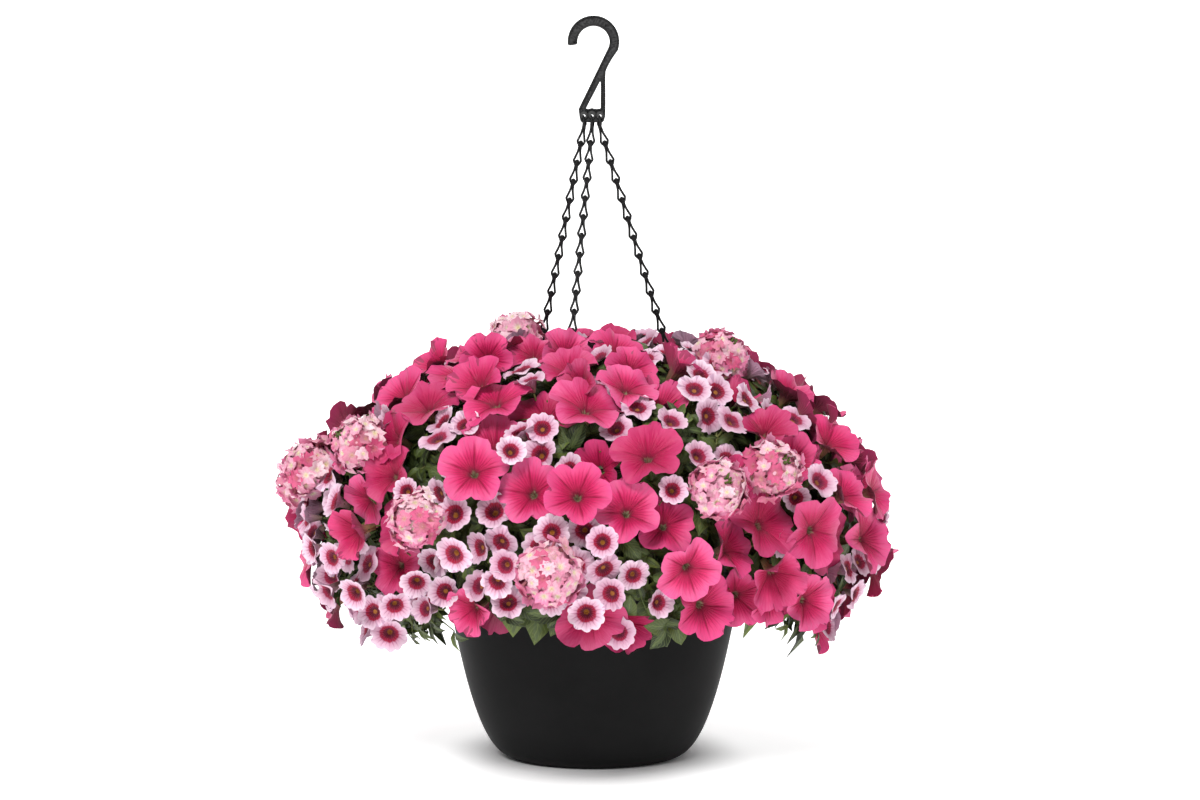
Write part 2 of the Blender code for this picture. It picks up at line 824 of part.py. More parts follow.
    def plant(self, obstacles, leaves_to_a_spray):
        """Run the whole rule round the fixed obstacles and name the sprays."""
        for shape in obstacles:
            self.space.add("holder", shape)
        found = self.flower_places()
        self.group(VERBENA, found["verbena"])
        self.group(PETUNIA, found["petunia"])
        self.group(CALIBRACHOA, found["calibrachoa"])
        self.set_roots()
        self.grow_stems()
        self.bear_heads()
        self.bear_blooms(PETUNIA)
        self.bear_blooms(CALIBRACHOA)
        self.bear_leaves(leaves_to_a_spray)
        self.drop_crossings()
        count = {}
        for spray in self.sprays:
            count[spray.kind.name] = count.get(spray.kind.name, 0) + 1
            word = "stem" if spray.kind is VERBENA else "spray"
            spray.name = f"{spray.kind.name}_{word}_{count[spray.kind.name]:02d}"
        return self.sprays


# Materials and meshes

def material(name, colour, roughness, metallic=0.0):
    """A plain finish."""
    made = bpy.data.materials.new(name)
    made.use_nodes = True
    shader = made.node_tree.nodes["Principled BSDF"]
    shader.inputs["Base Color"].default_value = (*colour, 1.0)
    shader.inputs["Roughness"].default_value = roughness
    shader.inputs["Metallic"].default_value = metallic
    return made


def make_object(name, shape, finish, smooth_degrees=0.0):
    """Turn a shape into an object of the scene."""
    mesh = bpy.data.meshes.new(name)
    mesh.from_pydata([tuple(point) for point in shape.points], [], shape.faces)
    mesh.materials.append(finish)
    if smooth_degrees > 0.0:
        mesh.shade_smooth()
        mesh.set_sharp_from_angle(angle=math.radians(smooth_degrees))
    made = bpy.data.objects.new(name, mesh)
    bpy.context.scene.collection.objects.link(made)
    return made


def set_aside(made):
    """Mark an object as a cutter, left out of the model."""
    made.hide_render = True
    made.display_type = "WIRE"
    return made


def apply_boolean(host, others, operation, solver):
    """Join others to the host, or cut them from it, in one Boolean on a collection."""
    together = bpy.data.collections.new(host.name + "_others")
    bpy.context.scene.collection.children.link(together)
    for other in others:
        bpy.context.scene.collection.objects.unlink(other)
        together.objects.link(set_aside(other))
    step = host.modifiers.new(operation.lower(), "BOOLEAN")
    step.operation = operation
    step.operand_type = "COLLECTION"
    step.collection = together
    step.solver = solver
    view = bpy.context.evaluated_depsgraph_get()
    result = bpy.data.meshes.new_from_object(host.evaluated_get(view), depsgraph=view)
    host.modifiers.clear()
    host.data = result
    for other in others:
        bpy.data.objects.remove(other, do_unlink=True)
    bpy.data.collections.remove(together)


def keep_main_body(host):
    """Drop loose scraps and fill hollows that fusing has sealed: only the largest body stays."""
    mesh = bmesh.new()
    mesh.from_mesh(host.data)
    waiting = set(mesh.verts)
    bodies = []
    while waiting:
        body = {waiting.pop()}
        edge_of_body = list(body)
        while edge_of_body:
            vert = edge_of_body.pop()
            for edge in vert.link_edges:
                other = edge.other_vert(vert)
                if other in waiting:
                    waiting.remove(other)
                    body.add(other)
                    edge_of_body.append(other)
        bodies.append(body)
    bodies.sort(key=len, reverse=True)
    for body in bodies[1:]:
        bmesh.ops.delete(mesh, geom=list(body), context="VERTS")
    mesh.to_mesh(host.data)
    mesh.free()


def turned(profile, sides):
    """A body of revolution from radius and height pairs that start and end on the axis."""
    shape = Shape()
    rings = []
    for radius, height in profile[1:-1]:
        rings.append(shape.add_ring(ring(Vector((0, 0, height)), Vector((0, 0, 1)), radius, sides)))
    shape.close(rings[0], Vector((0, 0, profile[0][1])), forward=False)
    for lower, upper in zip(rings, rings[1:]):
        shape.stitch(lower, upper)
    shape.close(rings[-1], Vector((0, 0, profile[-1][1])))
    return shape


def prism(outline, start, end):
    """A straight prism whose outline is given about the way from start to end."""
    shape = Shape()
    lower = shape.add_ring([point + start for point in outline])
    upper = shape.add_ring([point + end for point in outline])
    shape.cap(lower, forward=False)
    shape.stitch(lower, upper)
    shape.cap(upper)
    return shape


# Pot and soil

def bowl_radius(height):
    """Outer radius of the bowl at a height."""
    return FOOT_RADIUS + (RIM_RADIUS - FOOT_RADIUS) * (height / WALL_TOP) ** BOWL_CURVE


def pot_shape():
    """The bowl, its rolled wall top and the set-back collar, as one turned shell."""
    outer = [(bowl_radius(share * WALL_TOP), share * WALL_TOP) for share in BOWL_STATIONS]
    inner = [(bowl_radius(share * WALL_TOP) - WALL, share * WALL_TOP) for share in BOWL_STATIONS[:1:-1]]
    profile = [(0.0, 0.0), (FOOT_RADIUS, 0.0)] + outer
    profile += [(RIM_RADIUS, WALL_TOP), (RIM_RADIUS - 0.0012, WALL_TOP + 0.0014)]
    profile += [(COLLAR_RADIUS, WALL_TOP + 0.0014), (COLLAR_RADIUS, COLLAR_TOP)]
    profile += [(COLLAR_RADIUS - WALL, COLLAR_TOP), (COLLAR_RADIUS - WALL, WALL_TOP - 0.004)]
    profile += inner + [(FOOT_RADIUS + 0.004, WALL), (0.0, WALL)]
    return turned(profile, POT_SIDES)


def ear_way(name):
    """Unit vector from the pot's axis to an ear."""
    angle = math.radians(EAR_ANGLES[name])
    return Vector((math.cos(angle), math.sin(angle), 0.0))


def ear_shape(name):
    """The tapered plate of one ear, sunk into the collar."""
    way = ear_way(name)
    side = Vector((-way.y, way.x, 0.0))
    half = EAR_WIDTH / 2.0
    low = COLLAR_TOP - 0.005
    corners = ((-half, low), (half, low), (half * 0.62, EAR_TOP), (half * -0.62, EAR_TOP))
    outline = [side * across + Vector((0, 0, height)) for across, height in corners]
    return prism(outline, way * (COLLAR_RADIUS - WALL + 0.0003), way * (COLLAR_RADIUS - 0.0003))


def build_pot(finish):
    """The pot with its ears, ear holes and drain holes."""
    pot = make_object("pot", pot_shape(), finish, 40.0)
    ears = [make_object("ear_" + name, ear_shape(name), finish) for name in EAR_ANGLES]
    apply_boolean(pot, ears, "UNION", "EXACT")
    cutters = []
    for name in EAR_ANGLES:
        way = ear_way(name)
        height = Vector((0, 0, EAR_HOLE_HEIGHT))
        path = [way * (COLLAR_RADIUS - 0.02) + height, way * (COLLAR_RADIUS + 0.02) + height]
        cutters.append(make_object("ear_hole_" + name, tube(path, [EAR_HOLE] * 2, 8), finish))
    for index in range(DRAIN_COUNT):
        angle = math.tau * (index + 0.5) / DRAIN_COUNT
        place = Vector((DRAIN_CIRCLE * math.cos(angle), DRAIN_CIRCLE * math.sin(angle), 0.0))
        path = [place - Vector((0, 0, WALL)), place + Vector((0, 0, WALL * 2.0))]
        cutters.append(make_object(f"drain_{index}", tube(path, [DRAIN_RADIUS] * 2, 8), finish))
    apply_boolean(pot, cutters, "DIFFERENCE", "EXACT")
    return pot


def build_soil(sprays, finish):
    """The soil that fills the pot, gently crowned, with a plain hole round each stem."""
    top = SOIL_TOP + SOIL_CROWN * 0.25
    stations = [share * WALL_TOP for share in BOWL_STATIONS[2:]]
    profile = [(0.0, WALL + GAP), (FOOT_RADIUS + 0.004 - GAP, WALL + GAP)]
    profile += [(bowl_radius(height) - WALL - 2.0 * GAP, height) for height in stations]
    profile += [(COLLAR_RADIUS - WALL - 0.001, top)]
    profile += [(0.07, SOIL_TOP + SOIL_CROWN), (0.0, SOIL_TOP + SOIL_CROWN)]
    soil = make_object("soil", turned(profile, POT_SIDES // 2), finish, 40.0)
    holes = []
    for number, spray in enumerate(sprays):
        foot = spray.path[0] - Vector((0, 0, GAP))
        path = [foot, Vector((foot.x, foot.y, SOIL_TOP + 0.02))]
        wide = STEM_RADIUS + 2.0 * GAP
        holes.append(make_object(f"hole_{number}", tube(path, [wide] * 2, 3, spray.beside()), finish))
    apply_boolean(soil, holes, "DIFFERENCE", "EXACT")
    return soil


# Hook

def arc(centre, radius, start, end, count):
    """Points on an arc in the hook's own plane, by angle in degrees."""
    points = []
    for index in range(count):
        angle = math.radians(start + (end - start) * index / (count - 1))
        points.append((centre[0] + radius * math.cos(angle), centre[1] + radius * math.sin(angle)))
    return points


def hook_outline():
    """The hook's outline seen from the front, from its tip over the crown to the foot and back."""
    centre = (0.0, HOOK_TOP - HOOK_OUTER)
    outline = arc(centre, HOOK_OUTER, 184.0, -18.0, 12)
    outline += [(0.0125, 0.683), (0.0118, 0.678), (0.0120, BAR_TOP), (0.0105, BAR_BOTTOM)]
    outline += [(-0.0130, BAR_BOTTOM), (-0.0148, BAR_TOP)]
    outline += arc(centre, HOOK_INNER, -22.0, 184.0, 10)
    return outline


def hook_window():
    """The three-cornered window above the hook's foot bar."""
    return [(0.0072, 0.6690), (-0.0078, BAR_TOP), (0.0072, BAR_TOP)]


def build_hook(finish):
    """The moulded hook: a plate with a raised edge round recessed faces, and three chain eyes."""
    mesh = bmesh.new()
    edges = []
    for outline in (hook_outline(), hook_window()):
        verts = [mesh.verts.new((x, -HOOK_DEPTH / 2.0, z)) for x, z in outline]
        for index, vert in enumerate(verts):
            edges.append(mesh.edges.new((vert, verts[(index + 1) % len(verts)])))
    bmesh.ops.triangle_fill(mesh, edges=edges, use_beauty=True)
    grown = bmesh.ops.extrude_face_region(mesh, geom=list(mesh.faces))
    moved = [item for item in grown["geom"] if isinstance(item, bmesh.types.BMVert)]
    bmesh.ops.translate(mesh, verts=moved, vec=(0.0, HOOK_DEPTH, 0.0))
    bmesh.ops.recalc_face_normals(mesh, faces=list(mesh.faces))
    for way in (-1.0, 1.0):
        side = [face for face in mesh.faces if face.normal.y * way > 0.9]
        bmesh.ops.inset_region(mesh, faces=side, thickness=HOOK_RIM, depth=-HOOK_RECESS)
    data = bpy.data.meshes.new("hook")
    mesh.to_mesh(data)
    mesh.free()
    data.materials.append(finish)
    hook = bpy.data.objects.new("hook", data)
    bpy.context.scene.collection.objects.link(hook)
    cutters = []
    for name, across in EYE_PLACES.items():
        path = [Vector((across, -0.01, EYE_HEIGHT)), Vector((across, 0.01, EYE_HEIGHT))]
        cutters.append(make_object("eye_" + name, tube(path, [EYE_RADIUS] * 2, 8), finish))
    apply_boolean(hook, cutters, "DIFFERENCE", "EXACT")
    return hook


# Chains

def ring_shape(centre, along, beside, radius):
    """A closed wire ring in the plane of two unit vectors, with a flat run across each of them."""
    shape = Shape()
    rings = []
    for index in range(RING_SIDES):
        angle = math.tau * (index + 0.5) / RING_SIDES
        outward = along * math.cos(angle) + beside * math.sin(angle)
        onward = beside * math.cos(angle) - along * math.sin(angle)
        rings.append(shape.add_ring(ring(centre + outward * radius, onward, WIRE * 1.1, 4, 0.0, outward)))
    for index, lower in enumerate(rings):
        shape.stitch(lower, rings[(index + 1) % RING_SIDES])
    return shape


def chain_ends(name):
    """Centres of a chain's two end rings, at the hook's eye and at the pot's ear."""
    upper = Vector((EYE_PLACES[name], 0.0, EYE_HEIGHT - TOP_RING - RING_DROP))
    lower = ear_way(name) * (COLLAR_RADIUS - WALL / 2.0)
    lower.z = EAR_HOLE_HEIGHT + EAR_RING + RING_DROP
    return upper, lower


def links_shape(name):
    """All links of a chain: two legs that part below each knot and close round the next."""
    upper, lower = chain_ends(name)
    flat = math.cos(math.pi / RING_SIDES)
    start = upper - Vector((0, 0, TOP_RING * flat))
    end = lower + Vector((0, 0, EAR_RING * flat))
    way = (end - start).normalized()
    count = round((end - start).length / LINK_PITCH)
    pitch = (end - start).length / count
    wide = Vector((0.0, 1.0, 0.0)).cross(way).normalized()
    deep = way.cross(wide).normalized()
    knot = 1.7 * WIRE
    shape = Shape()

    def diamond(share):
        centre = start + way * (pitch * share)
        return shape.add_ring([
            centre + wide * knot, centre + deep * WIRE, centre - wide * knot, centre - deep * WIRE])

    previous = None
    for index in range(count + 1):
        high = diamond(index - 0.06)
        if previous is not None:
            for side, turn in ((0, 1.0), (2, -1.0)):
                middle = start + way * (pitch * (index - 0.24))
                outer = middle + wide * (turn * LINK_HALF_WIDTH)
                inner = middle + wide * (turn * (LINK_HALF_WIDTH - 2.0 * WIRE))
                corners = [outer, inner + deep * (turn * WIRE), inner - deep * (turn * WIRE)]
                belly = shape.add_ring(corners)
                order = (side, (side + 1) % 4, (side + 3) % 4)
                shape.stitch([previous[n] for n in order], belly)
                shape.stitch(belly, [high[n] for n in order])
        else:
            shape.cap(high, forward=False)
        low = diamond(index + 0.06)
        shape.stitch(high, low)
        if index == count:
            shape.cap(low)
        previous = low
    return shape


def build_chain(name, finish):
    """One chain of links with a ring at each end, fused where they touch."""
    upper, lower = chain_ends(name)
    way = ear_way(name)
    chain = make_object("chain_" + name, links_shape(name), finish)
    top = ring_shape(upper, Vector((0, 1, 0)), Vector((0, 0, 1)), TOP_RING)
    bottom = ring_shape(lower, way, Vector((0, 0, 1)), EAR_RING)
    top_ring = make_object("ring_top_" + name, top, finish)
    ear_ring = make_object("ring_ear_" + name, bottom, finish)
    apply_boolean(chain, [top_ring, ear_ring], "UNION", "MANIFOLD")
    keep_main_body(chain)
    return chain


def chain_room(name):
    """A plain bar round a chain that the flowers are kept out of."""
    upper, lower = chain_ends(name)
    return tube([lower - Vector((0, 0, EAR_RING + 0.002)), upper], [LINK_HALF_WIDTH + 0.003] * 2, 6)


# Sprays

def build_spray(spray, finishes):
    """One body: a stem with its blooms, head and leaves raised from it."""
    surface, starts = spray.surface()
    made = make_object(spray.name, surface, finishes["green"])
    made.data.materials.append(finishes[spray.kind.name])
    ends = [start for start, _ in starts[1:]] + [len(surface.faces)]
    for (start, piece), end in zip(starts, ends):
        if not isinstance(piece, Leaf):
            for face in made.data.polygons[start:end]:
                face.material_index = 1
    return made


def build_basket():
    """Build every sub-part of the basket."""
    for thing in list(bpy.data.objects):
        bpy.data.objects.remove(thing, do_unlink=True)
    pot_plastic = material("pot_plastic", (0.030, 0.030, 0.032), 0.55)
    hook_plastic = material("hook_plastic", (0.018, 0.018, 0.020), 0.45)
    chain_wire = material("chain_wire", (0.012, 0.012, 0.013), 0.50)
    earth = material("soil", (0.055, 0.036, 0.024), 0.95)
    finishes = {
        "green": material("leaf_green", (0.070, 0.150, 0.030), 0.60),
        "petunia": material("petunia_pink", (0.800, 0.050, 0.190), 0.55),
        "calibrachoa": material("calibrachoa_pale", (0.850, 0.560, 0.680), 0.55),
        "verbena": material("verbena_pink", (0.850, 0.380, 0.520), 0.60),
    }
    obstacles = [pot_shape()] + [ear_shape(name) for name in EAR_ANGLES]
    obstacles += [chain_room(name) for name in EAR_ANGLES]
    sprays = Planting().plant(obstacles, 3)
    build_pot(pot_plastic)
    build_soil(sprays, earth)
    build_hook(hook_plastic)
    for name in EAR_ANGLES:
        build_chain(name, chain_wire)
    for spray in sprays:
        build_spray(spray, finishes)


build_basket()
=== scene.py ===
"""Looks of a flowering hanging basket: finer pot, hook, chains, soil, stems, leaves and flowers.

Metres, +Z up, front towards -Y. Every bloom, head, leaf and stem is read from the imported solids, and
its finer form grows in the same place.
"""

import logging
import math
import random
from dataclasses import dataclass, field, replace
from enum import Enum
from typing import Any, Iterable, Sequence

import bmesh
import bpy
from mathutils import Matrix, Vector, noise
from mathutils.bvhtree import BVHTree
from mathutils.kdtree import KDTree

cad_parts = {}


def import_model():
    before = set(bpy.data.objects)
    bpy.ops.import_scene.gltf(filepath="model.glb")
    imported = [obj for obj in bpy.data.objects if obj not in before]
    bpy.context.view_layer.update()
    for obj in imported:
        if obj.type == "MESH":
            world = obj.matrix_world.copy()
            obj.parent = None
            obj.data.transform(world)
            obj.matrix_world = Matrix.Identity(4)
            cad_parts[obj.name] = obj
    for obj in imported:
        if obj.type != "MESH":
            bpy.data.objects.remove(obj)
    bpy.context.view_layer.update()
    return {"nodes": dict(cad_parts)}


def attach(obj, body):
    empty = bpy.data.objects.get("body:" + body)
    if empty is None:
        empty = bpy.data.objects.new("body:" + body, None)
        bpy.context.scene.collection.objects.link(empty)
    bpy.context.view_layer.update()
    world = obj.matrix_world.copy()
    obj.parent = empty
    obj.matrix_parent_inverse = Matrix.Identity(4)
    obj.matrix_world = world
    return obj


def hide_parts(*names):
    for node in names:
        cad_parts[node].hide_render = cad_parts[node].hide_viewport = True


LOG = logging.getLogger("basket")
MERGE = 1e-5
PATTERN_MAP = "pattern"
UP = Vector((0.0, 0.0, 1.0))
DOME_MIDDLE = Vector((0.0, 0.0, 0.240))
ASKEW = Vector((0.31, 0.22, 0.93))
GOLDEN_TURN = math.pi * (3.0 - math.sqrt(5.0))

Socket = bpy.types.NodeSocket
Object = bpy.types.Object
Material = bpy.types.Material
Mesh = bpy.types.Mesh
Collection = bpy.types.Collection
Colour = tuple[float, float, float]


class Species(Enum):
    """The three kinds of plant in the pot, by the first word of their nodes."""

    PETUNIA = "petunia"
    CALIBRACHOA = "calibrachoa"
    VERBENA = "verbena"


def spread(direction: Vector, reference: Vector) -> tuple[Vector, Vector]:
    """Two unit vectors square to a direction and to each other.

    Args:
        direction: the way that both are square to.
        reference: the way that the second leans to.

    Returns:
        The pair, so that first, second and direction make a right-handed frame.
    """
    first = reference.cross(direction)
    if first.length < 1e-4:
        first = Vector((1.0, 0.3, 0.2)).cross(direction)
    first.normalize()
    return first, direction.cross(first).normalized()


def turn_of(along: Vector, up: Vector) -> Vector:
    """The Euler turn that brings +Z to up and +X as near as can be to along.

    Args:
        along: where the pattern's +X goes.
        up: where the pattern's +Z goes, a unit vector.

    Returns:
        The angles as a vector.
    """
    across = up.cross(along).normalized()
    ahead = across.cross(up).normalized()
    matrix = Matrix((ahead, across, up)).transposed()
    return Vector(matrix.to_euler())


def polar(angle: float, radius: float = 1.0, height: float = 0.0) -> Vector:
    """The point at an angle round the upright axis."""
    return Vector((radius * math.cos(angle), radius * math.sin(angle), height))


def circle(count: int, radius: float, height: float) -> list[Vector]:
    """Even points on a level circle."""
    return [polar(math.tau * k / count, radius, height) for k in range(count)]


def swung(first: Vector, second: Vector, angle: float, reach: float = 1.0) -> Vector:
    """The way at an angle from one vector towards another."""
    return first * (reach * math.cos(angle)) + second * (reach * math.sin(angle))


def round_points(middle: Vector, first: Vector, second: Vector, radius: float, count: int) -> list[Vector]:
    """Even points on the circle round a place, in the plane of two unit vectors."""
    angles = [math.tau * k / count for k in range(count)]
    return [middle + first * (radius * math.cos(a)) + second * (radius * math.sin(a)) for a in angles]


def shaken(draw: random.Random, reach: float = 1.0) -> Vector:
    """A random vector, each of whose parts lies within a reach of 0."""
    return Vector([draw.uniform(-reach, reach) for _ in range(3)])


def smooth_path(points: Sequence[Vector], steps: int) -> list[Vector]:
    """A smooth way through points.

    Args:
        points: the points that it passes.
        steps: how many runs lie between two neighbours.

    Returns:
        The finer points, ends included.
    """
    ends = [points[0] * 2.0 - points[1], *points, points[-1] * 2.0 - points[-2]]
    fine = []
    for index in range(1, len(ends) - 2):
        before, here, after, beyond = ends[index - 1:index + 3]
        for step in range(steps):
            t = step / steps
            fine.append(0.5 * (2.0 * here + (after - before) * t
                               + (2.0 * before - 5.0 * here + 4.0 * after - beyond) * t * t
                               + (3.0 * here - before - 3.0 * after + beyond) * t ** 3))
    return fine + [points[-1].copy()]


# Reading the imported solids

@dataclass
class BloomPlace:
    """Where one trumpet bloom stands."""

    mouth: Vector
    axis: Vector
    lobe: Vector
    radius: float
    root: Vector


@dataclass
class LeafPlace:
    """Where one leaf grows, from root to tip."""

    root: Vector
    tip: Vector
    lift: Vector
    width: float


@dataclass
class HeadPlace:
    """Where one rounded head of florets stands."""

    centre: Vector
    axis: Vector
    radius: float


class Solid:
    """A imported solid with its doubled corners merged, read as points and neighbours."""

    BLADE = (0.0005, 0.0011)
    DISH = 0.30
    NECK = {Species.PETUNIA: 0.85, Species.CALIBRACHOA: 0.95}
    RIM_POINTS = {Species.PETUNIA: 10, Species.CALIBRACHOA: 5}
    RADIUS = {Species.PETUNIA: 0.031, Species.CALIBRACHOA: 0.0178}
    FLORET_EDGE = 0.006
    HEAD_FLAT = 0.88
    HEAD_SINK = 0.66

    def __init__(self, node: Object) -> None:
        """Merge a copy of the node's mesh.

        Args:
            node: the frame's object.
        """
        merged = bmesh.new()
        merged.from_mesh(node.data)
        bmesh.ops.remove_doubles(merged, verts=list(merged.verts), dist=MERGE)
        merged.verts.index_update()
        self.points = [vert.co.copy() for vert in merged.verts]
        self.near = [{edge.other_vert(vert).index for edge in vert.link_edges} for vert in merged.verts]
        merged.free()
        self.used: set[int] = set()

    def mean(self, numbers: Iterable[int]) -> Vector:
        """The middle of some points."""
        chosen = list(numbers)
        return sum((self.points[n] for n in chosen), Vector()) / len(chosen)

    def around(self, numbers: set[int]) -> set[int]:
        """The neighbours of a set of points, without the set.

        Args:
            numbers: point numbers.

        Returns:
            The neighbours' numbers.
        """
        found: set[int] = set()
        for number in numbers:
            found |= self.near[number]
        return found - numbers

    def bloom_at(self, number: int, species: Species) -> BloomPlace | None:
        """Read a bloom whose face sinks to one point.

        Args:
            number: the point to try.
            species: the kind of bloom.

        Returns:
            The bloom's place, or None where the point is no bloom's middle.
        """
        rim = self.near[number]
        if len(rim) != self.RIM_POINTS[species]:
            return None
        deep = self.points[number]
        reaches = sorted((self.points[n] - deep).length for n in rim)
        far, close = reaches[-5:], reaches[:5]
        size = self.RADIUS[species]
        if far[-1] > far[0] * 1.02 or close[-1] > close[0] * 1.02 or not 0.7 * size < far[0] < 1.25 * size:
            return None
        axis = (self.mean(rim) - deep).normalized()
        tips = sorted(rim, key=lambda n: -(self.points[n] - deep).length)[:5]
        rays = [(self.points[n] - deep) - axis * (self.points[n] - deep).dot(axis) for n in tips]
        radius = sum(ray.length for ray in rays) / 5.0
        back = {n for n in self.around(rim | {number})
                if min((self.points[n] - self.points[m]).length for m in rim) < self.BLADE[1]}
        collar = self.around(back) - rim
        base = self.around(collar) - back
        self.used |= rim | back | collar | {number}
        mouth = deep + axis * (self.DISH * radius)
        return BloomPlace(mouth, axis, rays[0].normalized(), radius, self.mean(base))

    def blooms(self, species: Species) -> list[BloomPlace]:
        """Every trumpet bloom of the solid.

        Args:
            species: the kind of plant.

        Returns:
            A place for each bloom.
        """
        if species not in self.RIM_POINTS:
            return []
        found = [self.bloom_at(number, species) for number in range(len(self.points))]
        return [place for place in found if place is not None]

    def thin_pairs(self, numbers: set[int]) -> list[tuple[int, int]]:
        """Neighbouring points a blade's thickness apart, among some points.

        Args:
            numbers: point numbers.

        Returns:
            The pairs of numbers.
        """
        pairs = []
        for one in sorted(numbers):
            for two in sorted(self.near[one] & numbers):
                gap = (self.points[one] - self.points[two]).length
                if one < two and self.BLADE[0] < gap < self.BLADE[1]:
                    pairs.append((one, two))
        return pairs

    def leaves(self) -> list[LeafPlace]:
        """Every leaf of the solid, found from the thin edge at its tip.

        Returns:
            A place for each leaf.
        """
        found = []
        for one, two in self.thin_pairs(set(range(len(self.points))) - self.used):
            tip = {one, two}
            ring = self.around(tip)
            if len(ring) != 4 or len(self.thin_pairs(ring)) != 2:
                continue
            middles = []
            width = 0.0
            before = tip
            while len(ring) == 4 and len(self.thin_pairs(ring)) == 2:
                left, right = self.thin_pairs(ring)
                width = max(width, (self.mean(left) - self.mean(right)).length)
                middles.append(self.mean(ring))
                self.used |= ring
                before, ring = ring, self.around(ring) - before
            self.used |= tip
            root, end = self.mean(ring), self.mean(tip)
            lift = (self.points[one] - self.points[two]).normalized()
            middle = middles[-1]
            share = (middle - root).dot(end - root) / (end - root).length_squared
            if (middle - root.lerp(end, share)).dot(lift) < 0.0:
                lift = -lift
            found.append(LeafPlace(root, end, lift, width))
        return found

    def head(self) -> HeadPlace | None:
        """The rounded head at the stem's tip, or None.

        Returns:
            The head's place, or None where the solid has no head.
        """
        middles = []
        for number, near in enumerate(self.near):
            reaches = [(self.points[n] - self.points[number]).length for n in near]
            if len(near) == 5 and min(reaches) > self.FLORET_EDGE and max(reaches) < min(reaches) * 1.2:
                middles.append(self.points[number])
        if len(middles) != 11:
            return None
        best: tuple[float, Vector, Vector] | None = None
        for top in middles:
            others = [point for point in middles if point is not top]
            centre = sum(others, Vector()) / len(others)
            reaches = [(point - centre).length for point in others]
            uneven = max(reaches) - min(reaches)
            if best is None or uneven < best[0]:
                best = (uneven, centre, top)
        _, centre, top = best
        axis = (top - centre).normalized()
        radius = (top - centre).length / self.HEAD_FLAT ** 2
        self.used |= {n for n, point in enumerate(self.points) if (point - centre).length < 1.1 * radius}
        return HeadPlace(centre, axis, radius)

    def stem(self) -> list[Vector]:
        """The middle of each ring of the stem, from its foot to its tip.

        Returns:
            The points in order.
        """
        left = set(range(len(self.points))) - self.used
        ring = set(sorted(left, key=lambda n: self.points[n].z)[:3])
        path = []
        while ring:
            path.append(self.mean(ring))
            left -= ring
            ring = self.around(ring) & left
        return path


@dataclass
class Spray:
    """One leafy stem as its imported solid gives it."""

    node: str
    species: Species
    path: list[Vector]
    blooms: list[BloomPlace]
    leaves: list[LeafPlace]
    head: HeadPlace | None
    fillers: list[BloomPlace] = field(default_factory=list)

    @classmethod
    def read(cls, name: str, node: Object) -> "Spray":
        """Read a spray from its node.

        Args:
            name: the node's name.
            node: the node's object.

        Returns:
            The spray.
        """
        solid = Solid(node)
        species = Species(name.split("_")[0])
        blooms = solid.blooms(species)
        leaves = solid.leaves()
        head = solid.head() if species is Species.VERBENA else None
        path = solid.stem()
        if head is not None:
            path.append(head.centre - head.axis * (Solid.HEAD_SINK * head.radius))
        return cls(name, species, path, blooms, leaves, head)


# Meshes

